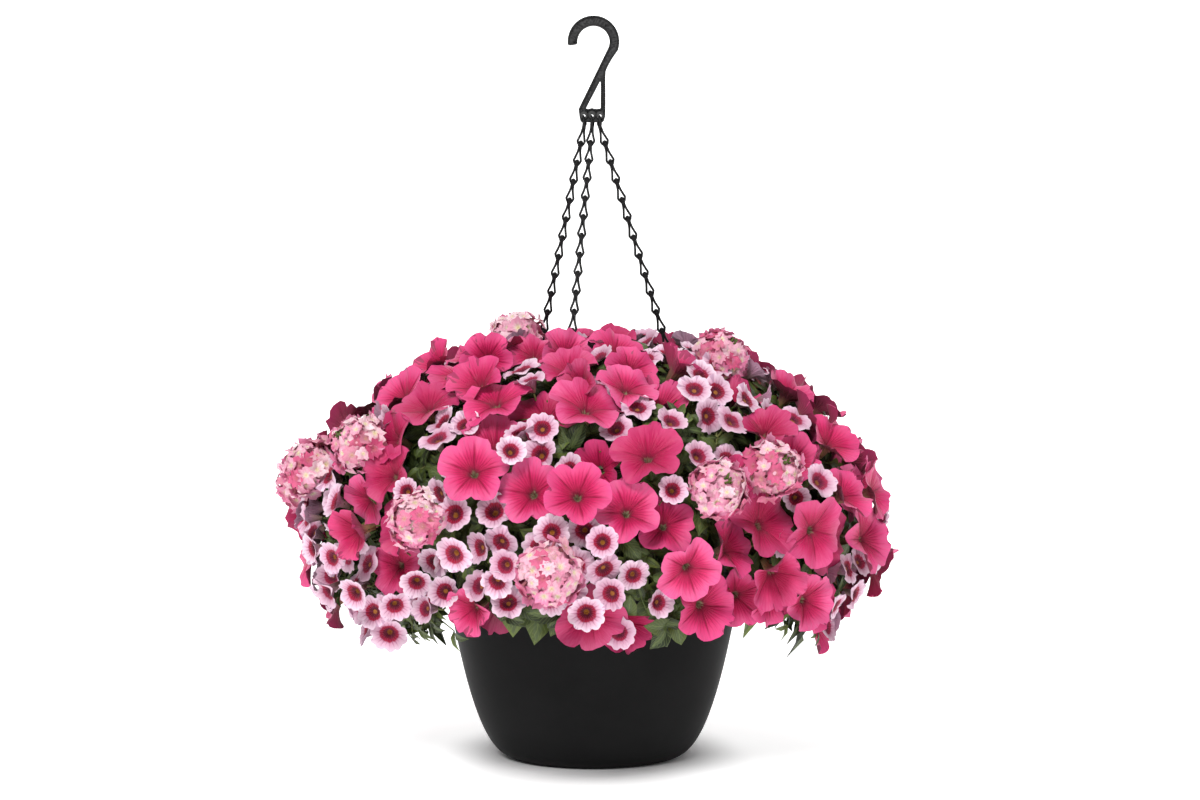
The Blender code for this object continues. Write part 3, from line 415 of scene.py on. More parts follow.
class Surface:
    """A mesh in the making: points, faces and each corner's place in the pattern map."""

    def __init__(self) -> None:
        """Start empty."""
        self.points: list[Vector] = []
        self.faces: list[tuple[int, ...]] = []
        self.places: list[tuple[float, float]] = []

    def ring(self, points: Iterable[Vector]) -> list[int]:
        """Add points and return their numbers.

        Args:
            points: the points to add.

        Returns:
            The numbers of the points.
        """
        start = len(self.points)
        self.points.extend(points)
        return list(range(start, len(self.points)))

    def face(self, corners: Sequence[int], places: Sequence[tuple[float, float]] | None = None) -> None:
        """Add one face.

        Args:
            corners: point numbers, counter-clockwise from outside.
            places: the corners' places in the pattern map.
        """
        self.faces.append(tuple(corners))
        self.places.extend(places if places is not None else [(0.0, 0.0)] * len(corners))

    def band(self, low: Sequence[int], high: Sequence[int], across: float, low_y: float,
             high_y: float) -> None:
        """Quads between two rings of the same count.

        Args:
            low: the first ring.
            high: the next ring, further along or out.
            across: the pattern's width round the whole ring.
            low_y: the pattern's height at the first ring.
            high_y: the pattern's height at the next ring.
        """
        count = len(low)
        for index in range(count):
            after = (index + 1) % count
            left, right = across * index / count, across * (index + 1) / count
            self.face((low[index], low[after], high[after], high[index]),
                      ((left, low_y), (right, low_y), (right, high_y), (left, high_y)))

    def fan(self, ring: Sequence[int], point: Vector, across: float, ring_y: float, point_y: float,
            outward: bool = True) -> None:
        """Close a ring to one point.

        Args:
            ring: the ring's numbers.
            point: the point.
            across: the pattern's width round the whole ring.
            ring_y: the pattern's height at the ring.
            point_y: the pattern's height at the point.
            outward: whether the ring runs counter-clockwise as seen from outside.
        """
        apex = self.ring([point])[0]
        count = len(ring)
        for index in range(count):
            left, right = across * index / count, across * (index + 1) / count
            corners = [(ring[index], (left, ring_y)), (ring[(index + 1) % count], (right, ring_y)),
                       (apex, ((left + right) / 2.0, point_y))]
            if not outward:
                corners.reverse()
            self.face([number for number, _ in corners], [place for _, place in corners])

    def tube(self, path: Sequence[Vector], radii: Sequence[float], sides: int, looped: bool = False) -> None:
        """A round tube along a path, with closed ends or joined into a loop.

        Args:
            path: the middle line.
            radii: the radius at each point.
            sides: points round the tube.
            looped: whether the end joins the start.
        """
        count = len(path)
        rings = []
        side = Vector((0.13, 0.27, 0.95))
        for index in range(count):
            before = path[(index - 1) % count] if looped or index else path[0]
            after = path[(index + 1) % count] if looped or index < count - 1 else path[-1]
            way = (after - before).normalized()
            if looped:
                side = UP if abs(way.z) < 0.9 else Vector((0.0, 1.0, 0.0))
            first, side = spread(way, side)
            rings.append(self.ring(round_points(path[index], first, side, radii[index], sides)))
        for index in range(count if looped else count - 1):
            self.band(rings[index], rings[(index + 1) % count], 1.0, index / count, (index + 1) / count)
        if not looped:
            self.face(rings[0][::-1])
            self.face(rings[-1])

    def mesh(self, name: str, smooth: bool = True) -> Mesh:
        """Make the mesh.

        Args:
            name: the mesh's name.
            smooth: whether its faces are shaded smooth.

        Returns:
            The mesh, with its pattern map.
        """
        made = bpy.data.meshes.new(name)
        made.from_pydata([tuple(point) for point in self.points], [], self.faces)
        layer = made.uv_layers.new(name=PATTERN_MAP)
        layer.data.foreach_set("uv", [value for place in self.places for value in place])
        if smooth:
            made.shade_smooth()
        made.validate()
        return made


def new_object(name: str, mesh: Mesh) -> Object:
    """An object of the scene that shows a mesh.

    Args:
        name: the object's name.
        mesh: the mesh that it shows.

    Returns:
        The object.
    """
    made = bpy.data.objects.new(name, mesh)
    bpy.context.scene.collection.objects.link(made)
    return made


def outward(mesh: Mesh, sharp: float = 0.0) -> Mesh:
    """Turn the faces of a closed mesh to the outside.

    Args:
        mesh: the mesh.
        sharp: edges over this angle in degrees get sharp shading, where it isn't 0.

    Returns:
        The same mesh.
    """
    work = bmesh.new()
    work.from_mesh(mesh)
    bmesh.ops.recalc_face_normals(work, faces=list(work.faces))
    work.to_mesh(mesh)
    work.free()
    if sharp:
        mesh.set_sharp_from_angle(angle=math.radians(sharp))
    return mesh


def baked(host: Object) -> Object:
    """Turn what an object's modifiers make into its own plain mesh.

    Args:
        host: the object.

    Returns:
        The same object, without modifiers.
    """
    view = bpy.context.evaluated_depsgraph_get()
    made = bpy.data.meshes.new_from_object(host.evaluated_get(view), depsgraph=view)
    host.modifiers.clear()
    host.data = made
    return host


def drill(host: Object, places: Sequence[Vector], half: Vector, radius: float, fused: bool) -> None:
    """Drill round holes through an object.

    Args:
        host: the object.
        places: the middle of each hole.
        half: the way from the middle of a hole to its end.
        radius: the radius of the holes.
        fused: whether parts of the object run into each other.
    """
    tool = Surface()
    for place in places:
        tool.tube([place - half, place + half], [radius] * 2, 24)
    cutter = new_object(host.name + "_drill", outward(tool.mesh(host.name + "_drill", False)))
    step = host.modifiers.new("holes", "BOOLEAN")
    step.operation = "DIFFERENCE"
    step.object = cutter
    step.solver = "EXACT"
    step.use_self = fused
    baked(host)
    bpy.data.objects.remove(cutter, do_unlink=True)


def declare(piece: Object, node: str) -> None:
    """Hang a piece on the root body and hide the node that it replaces.

    Args:
        piece: the finished piece.
        node: the node that it stands for.
    """
    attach(piece, "root")
    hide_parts(node)


def joined(name: str, parts: Sequence[Object]) -> Object:
    """Join several objects into the first.

    Args:
        name: the name of the result.
        parts: mesh objects.

    Returns:
        The joined object.
    """
    whole = parts[0]
    with bpy.context.temp_override(active_object=whole, object=whole, selected_objects=list(parts),
                                   selected_editable_objects=list(parts)):
        bpy.ops.object.join()
    whole.name = name
    whole.data.name = name
    return whole


# Node graphs

def add_node(tree: bpy.types.NodeTree, kind: str, *values: Any, out: int | str = 0,
             **named: Any) -> Socket | None:
    """Add a node with its settings, and give each of its sockets a value or a link.

    Args:
        tree: the graph that gets it.
        kind: the node's type.
        values: what its first sockets get in order, or None where one stays as it is.
        out: which of its outputs is wanted.
        named: settings by their own lower case names, and sockets by their names, with spaces
            written as underscores.

    Returns:
        The wanted output, or None where the node has none.
    """
    node = tree.nodes.new(kind)
    sockets = []
    for key, value in named.items():
        if key.islower():
            setattr(node, key, value)
        else:
            sockets.append((node.inputs[key.replace("_", " ")], value))
    for socket, value in [*zip(node.inputs, values), *sockets]:
        if isinstance(value, bpy.types.NodeSocket):
            tree.links.new(value, socket)
        elif value is not None:
            socket.default_value = (*value, 1.0) if socket.type == "RGBA" else value
    return node.outputs[out] if node.outputs else None


class Tree:
    """A Geometry Nodes tree with named inputs, which ends in one realized and dressed mesh."""

    def __init__(self, name: str, **inputs: str) -> None:
        """Start a tree.

        Args:
            name: the tree's name.
            inputs: the kind of each named input, besides its geometry and its finish.
        """
        self.tree = bpy.data.node_groups.new(name, "GeometryNodeTree")
        self.tree.is_modifier = True
        self.sockets: dict[str, str] = {}
        for label, kind in {"Geometry": "Geometry", **inputs, "Finish": "Material"}.items():
            port = self.tree.interface.new_socket(label, in_out="INPUT", socket_type="NodeSocket" + kind)
            self.sockets[label] = port.identifier
        self.tree.interface.new_socket("Geometry", in_out="OUTPUT", socket_type="NodeSocketGeometry")
        self.ports = self.tree.nodes.new("NodeGroupInput").outputs

    def node(self, kind: str, **named: Any) -> Socket:
        """Add a node and return its output."""
        return add_node(self.tree, kind, **named)

    def reading(self, name: str, kind: str) -> Socket:
        """One named value of the points."""
        return self.node("GeometryNodeInputNamedAttribute", data_type=kind, Name=name)

    def close(self, shape: Socket) -> None:
        """Realize and dress what the tree has made, and hand it out.

        Args:
            shape: what the tree has made.
        """
        whole = self.node("GeometryNodeRealizeInstances", Geometry=shape)
        dressed = self.node("GeometryNodeSetMaterial", Geometry=whole, Material=self.ports["Finish"])
        self.node("NodeGroupOutput", Geometry=dressed)

    def run(self, host: Object, **values: Any) -> Object:
        """Run the tree on an object.

        Args:
            host: the object.
            values: what the named inputs get.

        Returns:
            The same object with the result as its plain mesh.
        """
        step = host.modifiers.new(self.tree.name, "NODES")
        step.node_group = self.tree
        for label, value in values.items():
            step[self.sockets[label]] = value
        return baked(host)


def note(mesh: Mesh, **values: Sequence[Any]) -> None:
    """Write named values on a mesh's points: whole numbers, numbers or vectors.

    Args:
        mesh: the mesh.
        values: for each name, one value for each point.
    """
    for name, row in values.items():
        kind = {int: "INT", float: "FLOAT"}.get(type(row[0]), "FLOAT_VECTOR")
        layer = mesh.attributes.new(name, kind, "POINT").data
        if kind == "FLOAT_VECTOR":
            layer.foreach_set("vector", [number for vector in row for number in vector])
        else:
            layer.foreach_set("value", row)


def forget(mesh: Mesh, *names: str) -> None:
    """Take named values off a mesh again.

    Args:
        mesh: the mesh.
        names: the names of the values.
    """
    for name in names:
        if name in mesh.attributes:
            mesh.attributes.remove(mesh.attributes[name])


@dataclass
class Stand:
    """One place for a pattern."""

    place: Vector
    turn: Vector
    size: tuple[float, float, float]
    which: int
    tint: float


class SetOut(Tree):
    """A tree that puts a pattern on every point, turned and sized by the point's own values."""

    def __init__(self) -> None:
        """Build the tree once."""
        super().__init__("set_out", Patterns="Collection")
        choice = self.node("GeometryNodeCollectionInfo", Collection=self.ports["Patterns"],
                           Separate_Children=True, Reset_Children=True)
        turn = self.node("FunctionNodeEulerToRotation", Euler=self.reading("turn", "FLOAT_VECTOR"))
        self.close(self.node("GeometryNodeInstanceOnPoints", Points=self.ports["Geometry"], Instance=choice,
                             Pick_Instance=True, Instance_Index=self.reading("which", "INT"), Rotation=turn,
                             Scale=self.reading("size", "FLOAT_VECTOR")))

    def lay(self, name: str, stands: Sequence[Stand], patterns: Collection, finish: Material) -> Object:
        """Set a collection's patterns out on stands.

        Args:
            name: the name of the result.
            stands: where each pattern goes.
            patterns: the collection to pick from.
            finish: the material of the result.

        Returns:
            An object with a plain mesh.
        """
        points = bpy.data.meshes.new(name)
        points.from_pydata([tuple(stand.place) for stand in stands], [], [])
        note(points, turn=[stand.turn for stand in stands], size=[stand.size for stand in stands],
             which=[stand.which for stand in stands], tint=[stand.tint for stand in stands])
        made = self.run(new_object(name, points), Patterns=patterns, Finish=finish)
        forget(made.data, "turn", "size", "which")
        return made


class Growth(Tree):
    """A tree that gives polylines a round section, thick or thin as each point says."""

    def __init__(self) -> None:
        """Build the tree once."""
        super().__init__("growth", Sides="Int")
        line = self.node("GeometryNodeMeshToCurve", Mesh=self.ports["Geometry"])
        section = self.node("GeometryNodeCurvePrimitiveCircle", Resolution=self.ports["Sides"], Radius=1.0)
        self.close(self.node("GeometryNodeCurveToMesh", Curve=line, Profile_Curve=section, Fill_Caps=True,
                             Scale=self.reading("thick", "FLOAT")))

    def grow(self, name: str, lines: Sequence[tuple[list[Vector], float, float]], sides: int,
             finish: Material) -> Object:
        """Grow round stems along lines.

        Args:
            name: the name of the result.
            lines: each line's points, its radius at the start and its radius at the end.
            sides: points round each stem.
            finish: the material of the result.

        Returns:
            An object with a plain mesh.
        """
        points: list[Vector] = []
        edges: list[tuple[int, int]] = []
        radii: list[float] = []
        for path, start, end in lines:
            first = len(points)
            points.extend(path)
            edges.extend((n, n + 1) for n in range(first, len(points) - 1))
            radii.extend(start + (end - start) * n / (len(path) - 1) for n in range(len(path)))
        mesh = bpy.data.meshes.new(name)
        mesh.from_pydata([tuple(point) for point in points], edges, [])
        note(mesh, thick=radii)
        made = self.run(new_object(name, mesh), Sides=sides, Finish=finish)
        made.data.shade_smooth()
        forget(made.data, "thick")
        return made


class LinkLine(Tree):
    """A tree that lays wire links along a straight line, evenly and end to end."""

    def __init__(self) -> None:
        """Build the tree once."""
        super().__init__("link_line", Link="Object", Count="Int", Start="Vector", Step="Vector",
                         Turn="Vector", Size="Float")
        line = self.node("GeometryNodeMeshLine", mode="OFFSET", Count=self.ports["Count"],
                         Start_Location=self.ports["Start"], Offset=self.ports["Step"])
        shape = self.node("GeometryNodeObjectInfo", Object=self.ports["Link"], out="Geometry")
        turn = self.node("FunctionNodeEulerToRotation", Euler=self.ports["Turn"])
        links = self.node("GeometryNodeInstanceOnPoints", Points=line, Instance=shape, Rotation=turn,
                          Scale=self.ports["Size"])
        both = self.node("GeometryNodeJoinGeometry", Geometry=self.ports["Geometry"])
        self.tree.links.new(links, both.node.inputs["Geometry"])
        self.close(both)


# Materials

class Finish:
    """A node graph round one Principled shader, with short calls for its usual nodes."""

    def __init__(self, name: str, **constants: float) -> None:
        """Start a material.

        Args:
            name: the material's name.
            constants: values set on the shader's own sockets, with spaces written as underscores.
        """
        self.material = bpy.data.materials.new(name)
        self.material.use_nodes = True
        self.tree = self.material.node_tree
        self.shader = self.tree.nodes["Principled BSDF"]
        for key, value in constants.items():
            self.shader.inputs[key.replace("_", " ")].default_value = value

    def node(self, kind: str, *values: Any, **named: Any) -> Socket:
        """Add a node and return its output."""
        return add_node(self.tree, kind, *values, **named)

    def calc(self, operation: str, *values: Any, clamp: bool = False) -> Socket:
        """A Math node's result."""
        return self.node("ShaderNodeMath", *values, operation=operation, use_clamp=clamp)

    def span(self, value: Any, low: float, high: float, out_low: float = 0.0,
             out_high: float = 1.0) -> Socket:
        """A value mapped smoothly from one range to another."""
        return self.node("ShaderNodeMapRange", value, low, high, out_low, out_high,
                         interpolation_type="SMOOTHSTEP")

    def mix(self, factor: Any, one: Any, other: Any) -> Socket:
        """A blend of two colours."""
        return self.node("ShaderNodeMix", factor, *[None] * 5, one, other, data_type="RGBA", out=2)

    def ramp(self, value: Any, stops: Sequence[tuple[float, Colour]]) -> Socket:
        """A colour read from stops along a value.

        Args:
            value: the value.
            stops: places from 0 to 1 and their colours.

        Returns:
            The colour's socket.
        """
        read = self.node("ShaderNodeValToRGB", value)
        band = read.node.color_ramp
        while len(band.elements) < len(stops):
            band.elements.new(1.0)
        for element, (place, colour) in zip(band.elements, stops):
            element.position = place
            element.color = (*colour, 1.0)
        return read

    def noise(self, vector: Any, scale: float, detail: float = 2.0, rough: float = 0.5) -> Socket:
        """A noise value from 0 to 1."""
        return self.node("ShaderNodeTexNoise", Vector=vector, Scale=scale, Detail=detail, Roughness=rough,
                         out="Fac")

    def place(self) -> Socket:
        """Object coordinates."""
        return self.node("ShaderNodeTexCoord", out="Object")

    def pattern(self) -> tuple[Socket, Socket, Socket]:
        """The two values of the pattern map, and each flower's or leaf's own random value.

        Returns:
            The map's x and y, and the random value.
        """
        places = self.node("ShaderNodeUVMap", uv_map=PATTERN_MAP)
        x, y, _ = self.node("ShaderNodeSeparateXYZ", places).node.outputs
        return x, y, self.node("ShaderNodeAttribute", attribute_name="tint", out="Fac")

    def vector(self, x: Any, y: Any, z: Any) -> Socket:
        """Three values as a vector."""
        return self.node("ShaderNodeCombineXYZ", x, y, z)

    def dressed(self, colour: Socket, rough: Socket, height: Socket, strength: float,
                distance: float) -> Material:
        """Feed the shader.

        Args:
            colour: the base colour.
            rough: the roughness.
            height: what the normal's bump follows.
            strength: the bump's strength.
            distance: the bump's height in metres.

        Returns:
            The finished material.
        """
        normal = self.node("ShaderNodeBump", Strength=strength, Distance=distance, Height=height)
        for key, value in (("Base Color", colour), ("Roughness", rough), ("Normal", normal)):
            self.tree.links.new(value, self.shader.inputs[key])
        return self.material


@dataclass(frozen=True)
class PetalFinish:
    """Petals: a colour from throat to rim, veins along each lobe, and a duller back."""

    name: str
    front: tuple[tuple[float, Colour], ...]
    back: tuple[tuple[float, Colour], ...]
    vein: Colour
    pale: Colour
    veins_to_a_lobe: float
    vein_amount: float
    rib_amount: float
    streak_amount: float
    ripe_amount: float
    wobble: float
    pale_amount: float = 0.50
    pale_from: float = 0.50

    def material(self) -> Material:
        """Build the material from the pattern map: x counts lobes, y runs from throat to rim.

        Returns:
            The material.
        """
        made = Finish(self.name, Sheen_Weight=0.05, Sheen_Roughness=0.45, Specular_IOR_Level=0.25)
        calc, span = made.calc, made.span
        x, y, tint = made.pattern()
        share = calc("ABSOLUTE", y)
        seed = calc("MULTIPLY", tint, 23.0)
        drift = made.noise(made.vector(calc("MULTIPLY", x, 1.7), calc("MULTIPLY", y, 2.2), seed), 1.6)
        streak = made.noise(made.vector(calc("MULTIPLY", x, 11.0), calc("MULTIPLY", y, 1.8), seed), 2.0)
        off = calc("SUBTRACT", drift, 0.5)
        where = calc("ADD", share, calc("MULTIPLY", off, self.wobble), clamp=True)
        across = calc("ABSOLUTE", calc("SUBTRACT", calc("FRACT", calc("ADD", x, 0.5)), 0.5))
        fade = span(share, 0.40, 1.02, 1.0, 0.08)
        outer = span(share, self.pale_from, self.pale_from + 0.45)
        turns = calc("ADD", calc("MULTIPLY", x, self.veins_to_a_lobe), calc("MULTIPLY", off, 0.6))
        line = calc("POWER", calc("ABSOLUTE", calc("COSINE", calc("MULTIPLY", turns, math.pi))), 7.0)
        wedge = calc("SUBTRACT", 0.20, calc("MULTIPLY", share, 0.165))
        rib = span(calc("DIVIDE", across, wedge), 0.0, 1.0, 1.0, 0.0)
        marks = calc("ADD", calc("MULTIPLY", calc("MULTIPLY", line, fade), self.vein_amount),
                     calc("MULTIPLY", calc("MULTIPLY", rib, fade), self.rib_amount), clamp=True)
        lift = calc("MULTIPLY", calc("ADD", calc("MULTIPLY", tint, self.pale_amount), 0.12), outer)
        lively = made.mix(calc("MULTIPLY", lift, span(streak, 0.3, 0.7, 0.5, 1.3)),
                          made.ramp(where, self.front), self.pale)
        deep = calc("MULTIPLY", span(streak, 0.35, 0.75), self.streak_amount)
        ripe = span(calc("FRACT", calc("MULTIPLY", tint, 7.31)), 0.45, 1.0, 0.0, self.ripe_amount)
        marks = calc("MAXIMUM", marks, calc("MULTIPLY", deep, outer))
        front = made.mix(calc("MAXIMUM", marks, ripe), lively, self.vein)
        back = made.mix(calc("MULTIPLY", marks, 0.5), made.ramp(where, self.back), self.vein)
        colour = made.mix(calc("LESS_THAN", y, 0.0), front, back)
        height = calc("SUBTRACT", calc("MULTIPLY", streak, 0.8), marks)
        return made.dressed(colour, span(streak, 0.2, 0.8, 0.42, 0.62), height, 0.8, 0.0011)


@dataclass(frozen=True)
class LeafFinish:
    """Leaves: a pale rib and side veins on a green that changes from leaf to leaf."""

    name: str
    dark: Colour
    fresh: Colour
    rib: Colour
    under: Colour

    def material(self) -> Material:
        """Build the material from the pattern map: x runs from root to tip, y across.

        Returns:
            The material.
        """
        made = Finish(self.name, Specular_IOR_Level=0.35)
        calc, span = made.calc, made.span
        x, y, tint = made.pattern()
        away = calc("ABSOLUTE", y)
        mottle = made.noise(made.place(), 160.0, 3.0, 0.6)
        uneven = calc("MULTIPLY", calc("SUBTRACT", mottle, 0.5), 0.3)
        shade = calc("ADD", calc("POWER", tint, 1.8), uneven, clamp=True)
        slant = calc("SUBTRACT", calc("MULTIPLY", calc("ABSOLUTE", x), 8.0), calc("MULTIPLY", away, 6.0))
        side = calc("POWER", calc("ABSOLUTE", calc("COSINE", calc("MULTIPLY", slant, math.pi))), 14.0)
        rib = span(away, 0.0, 0.055, 1.0, 0.0)
        marks = calc("MAXIMUM", calc("MULTIPLY", side, 0.35), calc("MULTIPLY", rib, 0.8))
        top = made.mix(marks, made.mix(shade, self.dark, self.fresh), self.rib)
        below = made.mix(calc("MULTIPLY", marks, 0.6), self.under, self.rib)
        colour = made.mix(calc("LESS_THAN", x, 0.0), top, below)
        height = calc("SUBTRACT", calc("MULTIPLY", mottle, 0.4), marks)
        return made.dressed(colour, span(mottle, 0.2, 0.8, 0.40, 0.58), height, 0.5, 0.0005)


@dataclass(frozen=True)
class PlainFinish:
    """A finish that changes only a little from place to place: moulded plastic, wire, stems or bark."""

    name: str
    low: Colour
    high: Colour
    roughness: tuple[float, float]
    patches: float
    grain: float
    grain_height: float
    specular: float

    def material(self) -> Material:
        """Build the material from Object coordinates.

        Returns:
            The material.
        """
        made = Finish(self.name, Specular_IOR_Level=self.specular)
        place = made.place()
        patch = made.noise(place, self.patches, 3.0, 0.55)
        grain = made.noise(place, self.grain, 2.0, 0.6)
        return made.dressed(made.mix(made.span(patch, 0.3, 0.7), self.low, self.high),
                            made.span(patch, 0.25, 0.75, *self.roughness), grain, 0.25, self.grain_height)


@dataclass(frozen=True)
class SoilFinish:
    """Dark crumbly mix with paler fibres and damp patches."""

    name: str = "potting_mix"
    wet: Colour = (0.010, 0.007, 0.005)
    dry: Colour = (0.075, 0.045, 0.028)
    fibre: Colour = (0.19, 0.12, 0.065)

    def material(self) -> Material:
        """Build the material from Object coordinates.

        Returns:
            The material.
        """
        made = Finish(self.name, Specular_IOR_Level=0.25)
        place = made.place()
        damp = made.noise(place, 22.0, 3.0)
        crumb = made.noise(place, 420.0, 4.0, 0.7)
        dryness = made.calc("ADD", damp, made.calc("SUBTRACT", crumb, 0.5))
        base = made.mix(made.span(dryness, 0.25, 0.75), self.wet, self.dry)
        colour = made.mix(made.span(made.noise(place, 900.0, 1.0), 0.66, 0.72), base, self.fibre)
        return made.dressed(colour, made.span(damp, 0.3, 0.7, 0.70, 0.98), crumb, 0.9, 0.002)


@dataclass(frozen=True)
class FloorFinish:
    """A white sweep that is plain paper round the pot and glows further out: a painted glow that washes out
    the pot's cast shadow away from its foot.
    """

    starts: float
    full: float
    whole: float = 1.6
    glow: float = 0.66
    white: Colour = (0.87, 0.87, 0.87)
    shade: Colour = (0.85, 0.85, 0.85)

    def material(self) -> Material:
        """Build the material from Object coordinates.

        Returns:
            The material.
        """
        made = Finish("floor_white", Specular_IOR_Level=0.1, Emission_Strength=1.0)
        place = made.place()
        x, y, z = made.node("ShaderNodeSeparateXYZ", place).node.outputs
        flat = made.vector(x, made.calc("MULTIPLY", y, 0.8), z)
        reach = made.node("ShaderNodeVectorMath", flat, operation="LENGTH", out="Value")
        # Painted glow: the floor gives off light of its own, none near the pot and full white further out, so
        # the pot's cast shadow shows only close to its foot.
        glow = made.calc("ADD", made.span(reach, self.starts, self.full, 0.0, self.glow),
                         made.span(reach, self.full, self.whole, 0.0, 1.0 - self.glow))
        painted_glow_colour = made.mix(glow, (0.0, 0.0, 0.0), (1.0, 1.0, 1.0))
        made.tree.links.new(painted_glow_colour, made.shader.inputs["Emission Color"])
        grain = made.noise(place, 300.0)
        return made.dressed(made.mix(grain, self.white, self.shade), made.span(grain, 0.3, 0.7, 0.80, 0.90),
                            grain, 0.1, 0.00002)


PETUNIA_FINISH = PetalFinish(
    name="petunia_petal",
    front=((0.00, (0.20, 0.23, 0.09)), (0.13, (0.48, 0.47, 0.27)), (0.20, (0.26, 0.022, 0.050)),
           (0.34, (0.40, 0.006, 0.058)), (0.62, (0.57, 0.014, 0.110)), (1.00, (0.69, 0.044, 0.200))),
    back=((0.00, (0.34, 0.32, 0.09)), (0.22, (0.34, 0.19, 0.10)), (0.42, (0.28, 0.050, 0.085)),
          (1.00, (0.37, 0.034, 0.115))),
    vein=(0.28, 0.002, 0.040), pale=(0.84, 0.200, 0.420),
    veins_to_a_lobe=7.0, vein_amount=0.48, rib_amount=0.85, streak_amount=0.36, ripe_amount=0.55, wobble=0.24)
CALIBRACHOA_FINISH = PetalFinish(
    name="calibrachoa_petal",
    front=((0.00, (0.48, 0.19, 0.010)), (0.12, (0.48, 0.19, 0.010)), (0.18, (0.070, 0.003, 0.006)),
           (0.32, (0.11, 0.003, 0.009)), (0.42, (0.29, 0.005, 0.022)), (0.51, (0.36, 0.009, 0.040)),
           (0.58, (0.66, 0.32, 0.46)), (1.00, (0.78, 0.56, 0.69))),
    back=((0.00, (0.42, 0.30, 0.17)), (0.40, (0.46, 0.25, 0.35)), (1.00, (0.60, 0.38, 0.52))),
    vein=(0.32, 0.030, 0.120), pale=(0.87, 0.74, 0.82),
    veins_to_a_lobe=4.0, vein_amount=0.55, rib_amount=0.20, streak_amount=0.14, ripe_amount=0.26, wobble=0.10)
VERBENA_FINISH = PetalFinish(
    name="verbena_petal",
    front=((0.00, (0.78, 0.66, 0.28)), (0.16, (0.88, 0.78, 0.58)), (0.36, (0.84, 0.50, 0.58)),
           (0.62, (0.72, 0.20, 0.38)), (1.00, (0.66, 0.12, 0.30))),
    back=((0.00, (0.30, 0.20, 0.10)), (0.35, (0.56, 0.14, 0.25)), (1.00, (0.72, 0.26, 0.43))),
    vein=(0.56, 0.035, 0.150), pale=(0.90, 0.80, 0.79),
    veins_to_a_lobe=2.0, vein_amount=0.14, rib_amount=0.10, streak_amount=0.20, ripe_amount=0.85, wobble=0.44,
    pale_amount=0.78, pale_from=0.18)
LEAF_FINISH = LeafFinish(
    name="leaf_green", dark=(0.016, 0.026, 0.007), fresh=(0.125, 0.170, 0.030),
    rib=(0.17, 0.22, 0.060), under=(0.070, 0.098, 0.032))
STEM_FINISH = PlainFinish("stem_green", (0.075, 0.120, 0.028), (0.165, 0.175, 0.055), (0.45, 0.65),
                          60.0, 900.0, 0.0004, 0.35)
POT_FINISH = PlainFinish("pot_plastic", (0.0112, 0.0112, 0.0114), (0.0136, 0.0136, 0.0138), (0.40, 0.50),
                         14.0, 1500.0, 0.00006, 0.022)
HOOK_FINISH = PlainFinish("hook_plastic", (0.003, 0.003, 0.0034), (0.014, 0.014, 0.0145), (0.40, 0.62),
                          220.0, 900.0, 0.00020, 0.20)
WEB_FINISH = PlainFinish("hook_web", (0.0020, 0.0020, 0.0022), (0.044, 0.044, 0.045), (0.48, 0.70),
                         420.0, 900.0, 0.00050, 0.20)
WIRE_FINISH = PlainFinish("chain_wire", (0.0035, 0.0035, 0.004), (0.0095, 0.0095, 0.010), (0.36, 0.58),
                          200.0, 1800.0, 0.00005, 0.20)
CHIP_FINISH = PlainFinish("bark_chip", (0.060, 0.032, 0.018), (0.170, 0.095, 0.050), (0.70, 0.90),
                          90.0, 700.0, 0.0006, 0.30)


# Patterns of blooms, florets, leaves and small green parts

